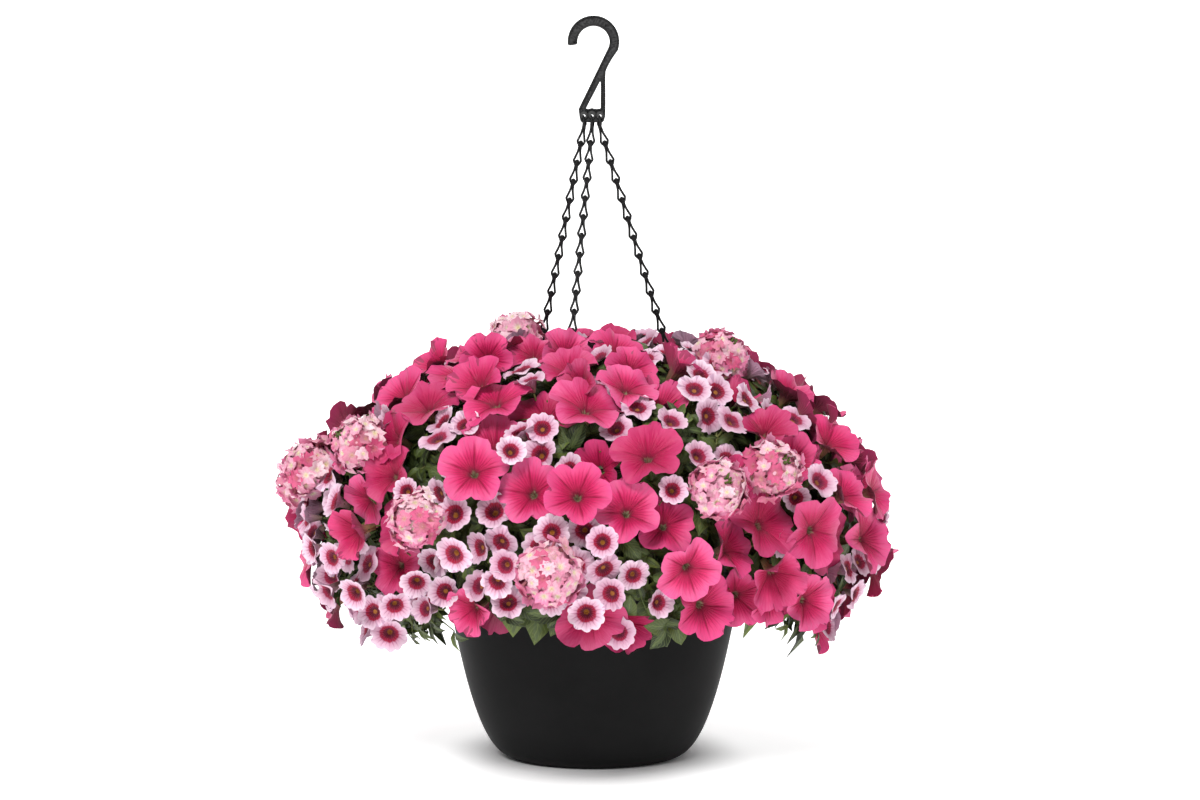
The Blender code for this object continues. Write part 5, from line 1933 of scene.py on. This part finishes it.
class Shell:
    """The dome that the flowers make, as seen from its middle."""

    WIDE = 0.30
    BESIDE = math.radians(13.0)
    POT_ROOM = 0.152
    POT_TOP = 0.205
    APART = 0.64
    CLEARANCE = 0.08
    MOUTH_REACH = 0.034
    THROAT = 0.42
    THROAT_DEPTH = 0.62
    LIP_DEPTH = 0.22
    MOUTH_WIDTH = 1.06
    MOUTH_HEIGHT = 1.1

    def __init__(self, sprays: Sequence[Spray]) -> None:
        """Gather the flowers.

        Args:
            sprays: every spray.
        """
        self.marks: list[tuple[Vector, float, Vector, Species]] = []
        self.stood: list[tuple[Vector, Vector, float]] = []
        self.discs = Surface()
        for spray in sprays:
            for bloom in spray.blooms:
                self.mark(bloom.mouth, spray.species)
                self.disc(bloom.mouth, bloom.axis, bloom.radius)
            if spray.head is not None:
                out = (spray.head.centre - DOME_MIDDLE).normalized()
                place = spray.head.centre + out * (0.8 * spray.head.radius)
                self.mark(place, spray.species)
                self.disc(place, out, spray.head.radius)
            for leaf in spray.leaves:
                way = leaf.tip - leaf.root
                self.disc(leaf.root.lerp(leaf.tip, 0.55), leaf.lift, 0.28 * way.length)
                self.stood.pop()
        self.grow()

    def mark(self, place: Vector, species: Species) -> None:
        """Remember how far out a flower stands."""
        away = place - DOME_MIDDLE
        self.marks.append((away.normalized(), away.length, place, species))

    def disc(self, place: Vector, axis: Vector, radius: float) -> None:
        """Add a flat eight-sided disc.

        Args:
            place: the middle of the disc.
            axis: the way that it looks.
            radius: the flower's radius.
        """
        self.stood.append((place, axis.normalized(), radius))
        first, second = spread(axis.normalized(), ASKEW)
        self.discs.face(self.discs.ring(round_points(place, first, second, 0.88 * radius, 8)))

    def grow(self) -> None:
        """Build the search tree of the discs."""
        self.tree = BVHTree.FromPolygons([tuple(point) for point in self.discs.points], self.discs.faces)


    def crowded(self, place: Vector, radius: float) -> bool:
        """Whether a new bloom would stand in another."""
        return any((place - spot).length < self.APART * (radius + other) for spot, _, other in self.stood)

    def settle(self) -> None:
        """Build the search tree of the mouths, once every bloom stands."""
        self.mouths = KDTree(len(self.stood))
        for number, (spot, _, _) in enumerate(self.stood):
            self.mouths.insert(spot, number)
        self.mouths.balance()

    def in_a_mouth(self, place: Vector) -> bool:
        """Whether a place lies in or just before an open bloom or head.

        Args:
            place: the place.

        Returns:
            True where it does.
        """
        for _, number, _ in self.mouths.find_range(place, self.MOUTH_REACH):
            spot, axis, radius = self.stood[number]
            height = (place - spot).dot(axis)
            beside = (place - spot - axis * height).length / radius
            deep = self.THROAT_DEPTH if beside < self.THROAT else self.LIP_DEPTH
            if beside < self.MOUTH_WIDTH and -deep * radius < height < self.MOUTH_HEIGHT * radius:
                return True
        return False

    def reach(self, way: Vector) -> float:
        """How far the dome reaches from its middle, averaged over the nearest flowers.

        Args:
            way: the way from the middle, a unit vector.

        Returns:
            The distance from the middle.
        """
        total = weight = 0.0
        for mark, length, _, _ in self.marks:
            near = math.exp(-2.0 * (1.0 - mark.dot(way)) / self.WIDE ** 2)
            total += near * length
            weight += near
        return total / weight

    def hit(self, way: Vector, surface: float) -> float:
        """How deep below the dome a ray from outside first meets something.

        Args:
            way: the way from the middle, a unit vector.
            surface: how far the dome reaches that way.

        Returns:
            The depth, or 1.0 where the ray meets nothing.
        """
        far = surface + self.CLEARANCE
        found = self.tree.ray_cast(DOME_MIDDLE + way * far, -way, far)
        return 1.0 if found[0] is None else found[3] - self.CLEARANCE

    def allows(self, place: Vector, room: float) -> bool:
        """Whether a place is off the pot and not lower than the flowers on either side of it.

        Args:
            place: the place.
            room: the radius of what would stand there.

        Returns:
            True where it may be used.
        """
        flat = math.hypot(place.x, place.y)
        if place.z - 0.5 * room < self.POT_TOP and flat - room < self.POT_ROOM:
            return False
        around = math.atan2(place.y, place.x)
        lows = []
        for _, _, spot, _ in self.marks:
            beside = (math.atan2(spot.y, spot.x) - around + math.pi) % math.tau - math.pi
            if abs(beside) < self.BESIDE and math.hypot(spot.x, spot.y) > 0.14:
                lows.append(spot.z)
        return not lows or place.z > min(lows) - 0.002

    def species_near(self, way: Vector, draw: random.Random, shares: dict[Species, float]) -> Species:
        """The kind of bloom that grows at a direction, drawn from its nearest flowers.

        Args:
            way: the way from the middle, a unit vector.
            draw: the seeded draw.
            shares: how often each kind comes up.

        Returns:
            The kind.
        """
        nearest = sorted(self.marks, key=lambda mark: -mark[0].dot(way))[:5]
        kinds = [mark[3] for mark in nearest if mark[3] in shares] + [Species.PETUNIA]
        return draw.choices(kinds, [shares[kind] for kind in kinds])[0]


def triangles(pieces: Sequence[Object]) -> int:
    """How many triangles some pieces have."""
    return sum(len(face.vertices) - 2 for piece in pieces for face in piece.data.polygons)


# Pot and soil

@dataclass
class Pot:
    """The moulded bowl with its rolled rim, set-back collar, ears and drain holes."""

    foot: float = 0.080
    rim: float = 0.147
    top: float = 0.171
    curve: float = 0.43
    wall: float = 0.003
    collar: float = 0.1436
    collar_top: float = 0.182
    sides: int = 144
    ear_angles: tuple[float, ...] = (133.0, 253.0, 13.0)
    ear_width: float = 0.014
    ear_top: float = 0.1945
    ear_hole: float = 0.0026
    ear_hole_height: float = 0.1885
    drain_radius: float = 0.005
    drain_circle: float = 0.045
    drains: int = 4

    def radius(self, height: float) -> float:
        """Outer radius of the bowl at a height."""
        return self.foot + (self.rim - self.foot) * max(height / self.top, 0.0) ** self.curve

    def profile(self) -> list[tuple[float, float]]:
        """Radius and height pairs from the middle of the foot, up the outside and down the inside.

        Returns:
            The pairs in order.
        """
        line = [(0.0, 0.0012), (self.foot - 0.016, 0.0012), (self.foot - 0.013, 0.0),
                (self.foot - 0.002, 0.0)]
        heights = [self.top * (step / 34.0) ** 1.9 for step in range(2, 35)]
        line += [(self.radius(height), height) for height in heights[:-1]]
        line += [(self.rim - 0.0001, self.top - 0.0012), (self.rim, self.top - 0.0002),
                 (self.rim - 0.0004, self.top + 0.0007), (self.rim - 0.0012, self.top + 0.0012)]
        line += [(self.collar + 0.0004, self.top + 0.0012), (self.collar, self.top + 0.0018),
                 (self.collar, self.collar_top - 0.0009), (self.collar - 0.0005, self.collar_top - 0.0001),
                 (self.collar - self.wall + 0.0005, self.collar_top),
                 (self.collar - self.wall, self.collar_top - 0.0008),
                 (self.collar - self.wall, self.top - 0.004)]
        line += [(self.radius(height) - self.wall, height) for height in reversed(heights[9:-3])]
        line += [(self.foot + 0.004, self.wall), (0.0, self.wall)]
        return line

    def lathe(self) -> Object:
        """The turned bowl.

        Returns:
            The bowl, as an object with a closed mesh.
        """
        surface = Surface()
        line = self.profile()
        rings = [surface.ring(circle(self.sides, radius, height)) for radius, height in line[1:-1]]
        surface.fan(rings[0][::-1], UP * line[0][1], 1.0, 0.0, 0.0)
        for low, high in zip(rings, rings[1:]):
            surface.band(low, high, 1.0, 0.0, 1.0)
        surface.fan(rings[-1], UP * line[-1][1], 1.0, 0.0, 0.0)
        return new_object("pot_bowl", outward(surface.mesh("pot_bowl"), 38.0))

    def ear(self, angle: float) -> Surface:
        """A rounded plate with a hole, set on the collar.

        Args:
            angle: where it stands, in degrees round the pot.

        Returns:
            A closed surface.
        """
        way = polar(math.radians(angle))
        side = Vector((-way.y, way.x, 0.0))
        surface = Surface()
        count = 32
        middle = UP * self.ear_hole_height
        half = self.ear_width / 2.0
        rings = []
        low = self.collar_top - 0.005
        for reach in (self.collar - self.wall + 0.0004, self.collar - 0.0004):
            outer, inner = [], []
            for k in range(count):
                a = math.tau * k / count
                across, height = math.cos(a), math.sin(a)
                x = half * (0.80 if height > 0 else 1.0) * math.copysign(abs(across) ** 0.62, across)
                z = (self.ear_top - self.ear_hole_height if height > 0 else self.ear_hole_height - low)
                z *= math.copysign(abs(height) ** 0.72, height)
                outer.append(way * reach + side * x + middle + UP * z)
                inner.append(way * reach + side * (self.ear_hole * across) + middle
                             + UP * (self.ear_hole * height))
            rings += [surface.ring(outer), surface.ring(inner)]
        back_outer, back_inner, front_outer, front_inner = rings
        loop = (back_outer, front_outer, front_inner, back_inner, back_outer)
        for low, high in zip(loop, loop[1:]):
            surface.band(low, high, 1.0, 0.0, 0.1)
        return surface

    def build(self) -> Object:
        """Build the pot.

        Returns:
            The piece.
        """
        bowl = self.lathe()
        places = [polar(math.tau * (index + 0.5) / self.drains, self.drain_circle)
                  for index in range(self.drains)]
        drill(bowl, places, UP * 0.01, self.drain_radius, False)
        ears = []
        for number, angle in enumerate(self.ear_angles):
            mesh = self.ear(angle).mesh(f"pot_ear_{number}")
            ears.append(new_object(f"pot_ear_{number}", outward(mesh, 40.0)))
        finish = POT_FINISH.material()
        for part in [bowl, *ears]:
            part.data.materials.clear()
            part.data.materials.append(finish)
        piece = joined("moulded_pot", [bowl, *ears])
        declare(piece, "pot")
        LOG.info("pot: %d triangles", triangles([piece]))
        return piece


@dataclass
class Soil:
    """The crumbly top of the potting mix inside the pot, with bark chips on it."""

    pot: Pot
    top: float = 0.1640
    bottom: float = 0.0036
    crown: float = 0.0035
    rings: int = 46
    sides: int = 120
    chips: int = 420
    seed: int = 19

    def bed(self) -> Surface:
        """The bed: a bumpy top, and sides that follow the inside of the pot.

        Returns:
            A closed surface.
        """
        surface = Surface()
        wide = self.pot.collar - self.pot.wall - 0.0012
        before: list[int] = []
        for step in range(1, self.rings + 1):
            radius = wide * step / self.rings
            points = []
            for k in range(self.sides):
                spot = polar(math.tau * k / self.sides, radius)
                rough = noise.fractal(spot * 90.0, 0.9, 2.1, 4) * 0.0016 + noise.noise(spot * 18.0) * 0.0012
                height = self.top + self.crown * (1.0 - (radius / wide) ** 2)
                points.append(spot + UP * (height + rough * (1.0 - (radius / wide) ** 12)))
            ring = surface.ring(points)
            if before:
                surface.band(ring, before, 1.0, 0.0, 1.0)
            else:
                surface.fan(ring, UP * (self.top + self.crown), 1.0, 0.0, 0.0)
            before = ring
        levels = [(height, self.pot.radius(height) - self.pot.wall - 0.0007)
                  for height in (0.155, 0.12, 0.08, 0.04, 0.02)]
        for height, inside in (*levels, (self.bottom, self.pot.foot + 0.003)):
            ring = surface.ring(circle(self.sides, inside, height))
            surface.band(ring, before, 1.0, 0.0, 1.0)
            before = ring
        surface.fan(before[::-1], UP * self.bottom, 1.0, 0.0, 0.0)
        return surface

    def build(self, set_out: SetOut) -> Object:
        """Build the soil.

        Args:
            set_out: the tree that lays the chips.

        Returns:
            The piece.
        """
        bed = new_object("soil_bed", outward(self.bed().mesh("soil_bed")))
        bed.data.materials.append(SoilFinish().material())
        draw = random.Random(self.seed)
        shapes = []
        for _ in range(5):
            chip = Surface()
            spots = [Vector((0.5 * x + draw.uniform(-0.12, 0.12), 0.28 * y + draw.uniform(-0.08, 0.08),
                             0.12 * z + draw.uniform(-0.05, 0.05)))
                     for z in (-1, 1) for x, y in ((-1, -1), (1, -1), (1.1, 0.2), (0.6, 1), (-1, 0.8))]
            low, high = chip.ring(spots[:5]), chip.ring(spots[5:])
            chip.face(low[::-1])
            chip.band(low, high, 1.0, 0.0, 1.0)
            chip.face(high)
            shapes.append(chip)
        group = PatternBook.collect("bark_chips", shapes)
        stands = []
        wide = self.pot.collar - self.pot.wall - 0.008
        for _ in range(self.chips):
            angle, radius = draw.uniform(0.0, math.tau), wide * math.sqrt(draw.random())
            spot = polar(angle, radius, self.top + self.crown * (1.0 - (radius / wide) ** 2) + 0.0006)
            tilt = Vector((draw.uniform(-0.5, 0.5), draw.uniform(-0.5, 0.5), 1.0)).normalized()
            way = Vector((draw.uniform(-1, 1), draw.uniform(-1, 1), 0.05))
            size = draw.uniform(0.002, 0.0065)
            stands.append(Stand(spot, turn_of(way, tilt), (size, size, size), draw.randrange(len(shapes)),
                                draw.random()))
        chips = set_out.lay("soil_chips", stands, group, CHIP_FINISH.material())
        piece = joined("potting_mix_bed", [bed, chips])
        declare(piece, "soil")
        LOG.info("soil: %d triangles", triangles([piece]))
        return piece


# Hook and chains

@dataclass
class Hook:
    """The moulded hook: raised edges round recessed faces, ribs, bosses and three chain eyes."""

    top: float = 0.737
    outer: float = 0.0257
    inner: float = 0.0160
    depth: float = 0.007
    bar_bottom: float = 0.6315
    bar_top: float = 0.6445
    eye_height: float = 0.638
    eye_radius: float = 0.0016
    eye_places: tuple[float, ...] = (-0.0095, -0.0015, 0.0065)
    rim: float = 0.0017
    recess: float = 0.0016
    bevel: float = 0.0006

    def spot(self, radius: float, angle: float) -> tuple[float, float]:
        """A point round the middle of the bend, as seen from the front."""
        return radius * math.cos(angle), self.top - self.outer + radius * math.sin(angle)

    def arc(self, radius: float, start: float, end: float, count: int) -> list[tuple[float, float]]:
        """Points on an arc round the middle of the bend, by angle in degrees."""
        return [self.spot(radius, math.radians(start + (end - start) * index / (count - 1)))
                for index in range(count)]

    def outline(self) -> list[tuple[float, float]]:
        """The outline seen from the front.

        Returns:
            The points as x and z.
        """
        middle = (self.outer + self.inner) / 2.0
        half = (self.outer - self.inner) / 2.0
        tip = []
        for step in range(1, 6):
            bend = math.pi * step / 6.0
            angle = math.radians(184.0) + 0.075 * math.sin(bend) ** 0.35
            tip.append(self.spot(middle - half * math.cos(bend), angle))
        line = self.arc(self.outer, 184.0, -18.0, 48)
        line += [(0.0185, 0.6948), (0.0140, 0.6868), (0.0122, 0.6820), (0.0119, 0.6760), (0.0120, 0.6600)]
        line += [(0.0120, self.bar_top), (0.0117, 0.6375), (0.0103, 0.6330), (0.0088, self.bar_bottom)]
        line += [(0.0030, self.bar_bottom + 0.0003), (0.0010, self.bar_bottom), (-0.0040, self.bar_bottom),
                 (-0.0060, self.bar_bottom + 0.0003), (-0.0115, self.bar_bottom)]
        line += [(-0.0130, 0.6330), (-0.0141, 0.6380), (-0.0148, self.bar_top)]
        line += self.arc(self.inner, -22.0, 184.0, 42)
        return line + tip

    @staticmethod
    def window() -> list[tuple[float, float]]:
        """The window over the foot bar, with rounded corners.

        Returns:
            The points as x and z.
        """
        return [(0.0072, 0.6705), (0.0068, 0.6725), (0.0060, 0.6713), (-0.0071, 0.6462), (-0.0072, 0.6450),
                (-0.0062, 0.6446), (-0.0038, 0.6448), (-0.0015, 0.6455), (0.0010, 0.6448), (0.0032, 0.6446),
                (0.0064, 0.6448), (0.0071, 0.6456)]

    def plate(self) -> Object:
        """The plate with both faces sunk inside a raised edge.

        Returns:
            The plate, as an object with two finishes.
        """
        mesh = bmesh.new()
        edges = []
        for outline in (self.outline(), self.window()):
            verts = [mesh.verts.new((x, -self.depth / 2.0, z)) for x, z in outline]
            for index, vert in enumerate(verts):
                edges.append(mesh.edges.new((vert, verts[(index + 1) % len(verts)])))
        bmesh.ops.triangle_fill(mesh, edges=edges, use_beauty=True)
        grown = bmesh.ops.extrude_face_region(mesh, geom=list(mesh.faces))
        moved = [item for item in grown["geom"] if isinstance(item, bmesh.types.BMVert)]
        bmesh.ops.translate(mesh, verts=moved, vec=(0.0, self.depth, 0.0))
        bmesh.ops.recalc_face_normals(mesh, faces=list(mesh.faces))
        for way in (-1.0, 1.0):
            side = [face for face in mesh.faces if face.normal.y * way > 0.9]
            bmesh.ops.inset_region(mesh, faces=side, thickness=self.rim, depth=0.0)
            side = [face for face in side if face.is_valid]
            bmesh.ops.inset_region(mesh, faces=side, thickness=0.0003, depth=-self.recess)
            for face in side:
                face.material_index = 1 if face.is_valid else 0
        data = bpy.data.meshes.new("hook_plate")
        mesh.to_mesh(data)
        mesh.free()
        for finish in (HOOK_FINISH, WEB_FINISH):
            data.materials.append(finish.material())
        return new_object("hook_plate", data)

    @staticmethod
    def block(path: Sequence[Vector], radii: Sequence[float], name: str, sides: int) -> Object:
        """A round boss or rib along a path.

        Args:
            path: the middle line.
            radii: the radius at each point.
            name: the object's name.
            sides: how many points lie round it.

        Returns:
            The object.
        """
        surface = Surface()
        surface.tube(path, radii, sides)
        made = new_object(name, outward(surface.mesh(name)))
        made.data.materials.append(bpy.data.materials[HOOK_FINISH.name])
        return made

    def build(self) -> Object:
        """Build the hook.

        Returns:
            The piece.
        """
        plate = self.plate()
        half = self.depth / 2.0
        bosses = []
        for number, across in enumerate(self.eye_places):
            high = 0.0012 if number == 1 else 0.0007
            middle = Vector((across, 0.0, self.eye_height + 0.0004))
            middle.z += high - 0.0007
            path = [middle - Vector((0.0, y, 0.0)) for y in (half + high, half + high - 0.0004, 0.0,
                                                             -half - high + 0.0004, -half - high)]
            bosses.append(self.block(path, [0.0034, 0.0039, 0.0041, 0.0039, 0.0034],
                                     f"hook_boss_{number}", 28))
        ribs = []
        for number, degrees in enumerate((166.0, 128.0, 90.0, 52.0, 14.0, -10.0)):
            x, z = self.spot(self.inner * 1.04, math.radians(degrees))
            low = Vector((x, 0.0, z))
            x, z = self.spot(self.outer * 0.97, math.radians(degrees + (10.0 if number % 2 else -10.0)))
            high = Vector((x, 0.0, z))
            for way in (-1.0, 1.0):
                shift = Vector((0.0, way * (half - self.recess), 0.0))
                ribs.append(self.block([low + shift, low.lerp(high, 0.5) + shift, high + shift],
                                       [0.0009, 0.0008, 0.0009], f"hook_rib_{number}_{way}", 10))
        step = plate.modifiers.new("soften", "BEVEL")
        step.width = self.bevel
        step.segments = 2
        step.limit_method = "ANGLE"
        step.angle_limit = math.radians(40.0)
        baked(plate)
        plate.data.shade_smooth()
        plate.data.set_sharp_from_angle(angle=math.radians(32.0))
        plate = joined("moulded_hook", [plate, *bosses, *ribs])
        eyes = [Vector((across, 0.0, self.eye_height)) for across in self.eye_places]
        drill(plate, eyes, Vector((0.0, 0.012, 0.0)), self.eye_radius, True)
        plate.data.name = plate.name
        declare(plate, "hook")
        LOG.info("hook: %d triangles", triangles([plate]))
        return plate


@dataclass
class Chains:
    """Three chains of wire links from the hook's eyes to the pot's ears."""

    pot: Pot
    hook: Hook
    pitch: float = 0.0193
    half_width: float = 0.0047
    wire: float = 0.00120
    top_ring: float = 0.0056
    ear_ring: float = 0.0046
    ring_drop: float = 0.0003
    names: tuple[str, ...] = ("chain_left", "chain_front", "chain_right")

    def ends(self, number: int) -> tuple[Vector, Vector]:
        """Centres of a chain's end rings, at the hook's eye and at the pot's ear.

        Args:
            number: the chain's number, from 0.

        Returns:
            The upper centre, then the lower one.
        """
        upper = Vector((self.hook.eye_places[number], 0.0,
                        self.hook.eye_height - self.top_ring - self.ring_drop))
        lower = polar(math.radians(self.pot.ear_angles[number]), self.pot.collar - self.pot.wall / 2.0,
                      self.pot.ear_hole_height + self.ear_ring + self.ring_drop)
        return upper, lower

    def link(self) -> Object:
        """One link of unit pitch hanging along -Z: a teardrop of wire with a wrapped neck.

        Returns:
            The link, as an object outside the scene.
        """
        wide = (self.half_width - self.wire) / self.pitch
        thick = self.wire / self.pitch
        half = [(0.0, 0.250), (0.045, 0.225), (0.055, 0.150), (0.042, 0.06), (0.046, -0.12), (0.074, -0.36),
                (wide * 0.95, -0.705), (wide, -0.750), (wide * 0.93, -0.795), (0.085, -0.975)]
        loop = half + [(0.0, -1.020)] + [(-x, z) for x, z in reversed(half[1:])]
        closed = [Vector((x, 0.0, z)) for x, z in loop]
        surface = Surface()
        path = smooth_path(closed + [closed[0]], 2)[:-1]
        surface.tube(path, [thick] * len(path), 6, looped=True)
        for turn in range(2):
            height = 0.215 - 0.105 * turn
            ring = [polar(angle, 0.056, height + 0.014 * math.cos(angle + turn))
                    for angle in (math.tau * k / 8.0 for k in range(8))]
            surface.tube(ring, [thick * 0.95] * 8, 5, looped=True)
        return bpy.data.objects.new("wire_link", outward(surface.mesh("wire_link")))

    def ring(self, centre: Vector, along: Vector, beside: Vector, radius: float, name: str) -> Object:
        """A split wire ring in the plane of two unit vectors.

        Args:
            centre: the middle of the ring.
            along: the first unit vector.
            beside: the second, square to the first.
            radius: the ring's radius.
            name: the object's name.

        Returns:
            The ring's object.
        """
        normal = along.cross(beside)
        path = []
        for step in range(34):
            shift = normal * (self.wire * 1.9 * (step / 33.0 - 0.5) * 0.9)
            path.append(centre + swung(along, beside, math.tau * 1.09 * step / 33.0) * radius + shift)
        surface = Surface()
        surface.tube(path, [self.wire] * len(path), 8)
        return new_object(name, outward(surface.mesh(name)))

    def build(self) -> list[Object]:
        """Build the chains.

        Returns:
            One piece for each chain.
        """
        tree = LinkLine()
        link = self.link()
        finish = WIRE_FINISH.material()
        flat = math.cos(math.pi / 8.0)
        ahead = Vector((0.0, 1.0, 0.0))
        pieces = []
        for number, name in enumerate(self.names):
            upper, lower = self.ends(number)
            start = upper - UP * (self.top_ring * flat)
            run = lower + UP * (self.ear_ring * flat) - start
            count = round(run.length / self.pitch)
            way = run.normalized()
            turn = turn_of((-ahead).cross(-way).normalized(), -way)
            outside = polar(math.radians(self.pot.ear_angles[number]))
            host = joined(name + "_rings", [
                self.ring(upper, ahead, UP, self.top_ring, name + "_ring_top"),
                self.ring(lower, outside, UP, self.ear_ring, name + "_ring_ear")])
            tree.run(host, Link=link, Count=count, Start=tuple(start), Step=tuple(run / count),
                     Turn=tuple(turn), Size=run.length / count, Finish=finish)
            host.name = "wire_" + name
            host.data.name = host.name
            declare(host, name)
            pieces.append(host)
        LOG.info("chains: %d triangles", triangles(pieces))
        return pieces


# Studio

@dataclass
class Studio:
    """Pale floor, soft light and the camera."""

    distance: float = 2.3
    height: float = 0.435
    across: float = 0.0065
    tilt: float = 2.0
    lens: float = 69.0
    floor_reach: float = 6.0
    surroundings: float = 0.24
    # Where the floor's painted glow starts and where it is full, in metres out from the pot.
    glow_starts: float = 0.080
    glow_full: float = 0.165

    def floor(self) -> Object:
        """A floor that sweeps up into a backdrop far behind.

        Returns:
            The floor's object.
        """
        surface = Surface()
        reach = self.floor_reach
        line = [(-reach, 0.0), (reach * 0.45, 0.0)]
        for step in range(1, 13):
            angle = math.pi / 2.0 * step / 12.0
            line.append((reach * 0.45 + 1.2 * math.sin(angle), 1.2 * (1.0 - math.cos(angle))))
        line.append((reach * 0.45 + 1.2, 4.0))
        left = surface.ring(Vector((-reach, y, z)) for y, z in line)
        right = surface.ring(Vector((reach, y, z)) for y, z in line)
        for index in range(len(line) - 1):
            surface.face((left[index], right[index], right[index + 1], left[index + 1]))
        made = new_object("studio_floor", surface.mesh("studio_floor"))
        made.data.materials.append(FloorFinish(self.glow_starts, self.glow_full).material())
        return made

    @staticmethod
    def lamp(name: str, place: tuple[float, float, float], size: tuple[float, float], power: float,
             target: tuple[float, float, float] = (0.0, 0.0, 0.28)) -> None:
        """A rectangular soft light that looks at a place.

        Args:
            name: the light's name.
            place: where it stands.
            size: its width and height.
            power: its power in watts.
            target: where it looks.
        """
        data = bpy.data.lights.new(name, "AREA")
        data.shape = "RECTANGLE"
        data.size, data.size_y = size
        data.energy = power
        made = bpy.data.objects.new(name, data)
        made.location = place
        made.rotation_euler = (Vector(target) - Vector(place)).to_track_quat("-Z", "Y").to_euler()
        bpy.context.scene.collection.objects.link(made)

    def build(self) -> None:
        """Build floor, lights, surroundings and camera."""
        self.floor()
        self.lamp("key_light", (-0.6, -2.4, 2.2), (0.9, 0.9), 76.0)
        self.lamp("fill_light", (1.8, -2.2, 1.2), (1.4, 1.4), 7.0)
        self.lamp("top_light", (0.0, 0.3, 2.8), (2.0, 2.0), 24.0)
        world = bpy.data.worlds.new("studio")
        world.use_nodes = True
        tree = world.node_tree
        tree.nodes["Background"].inputs["Color"].default_value = (1.0, 1.0, 1.0, 1.0)
        seen = tree.nodes.new("ShaderNodeLightPath")
        level = tree.nodes.new("ShaderNodeMapRange")
        level.inputs["To Min"].default_value = self.surroundings
        tree.links.new(seen.outputs["Is Camera Ray"], level.inputs["Value"])
        tree.links.new(level.outputs["Result"], tree.nodes["Background"].inputs["Strength"])
        scene = bpy.context.scene
        scene.world = world
        scene.view_settings.view_transform = "Standard"
        lens = bpy.data.cameras.new("camera")
        lens.sensor_width = 36.0
        lens.lens = self.lens
        lens.clip_start, lens.clip_end = 0.05, 50.0
        camera = bpy.data.objects.new("camera", lens)
        camera.location = (self.across, -self.distance, self.height)
        camera.rotation_euler = (math.radians(90.0 - self.tilt), 0.0, 0.0)
        scene.collection.objects.link(camera)
        scene.camera = camera
        LOG.info("studio: floor, three lights and the camera")


def main() -> None:
    """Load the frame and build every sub-assembly in order."""
    logging.basicConfig(level=logging.INFO, format="%(name)s: %(message)s")
    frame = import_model()
    nodes = frame["nodes"]
    pot = Pot()
    hook = Hook()
    chains = Chains(pot, hook)
    set_out = SetOut()
    pot.build()
    Soil(pot).build(set_out)
    hook.build()
    chains.build()
    plants = Plants(PatternBook(), set_out, Growth())
    plants.chains = [chains.ends(number)[::-1] for number in range(len(chains.names))]
    plants.read(nodes)
    plants.build()
    Studio().build()


if __name__ == "__main__":
    main()
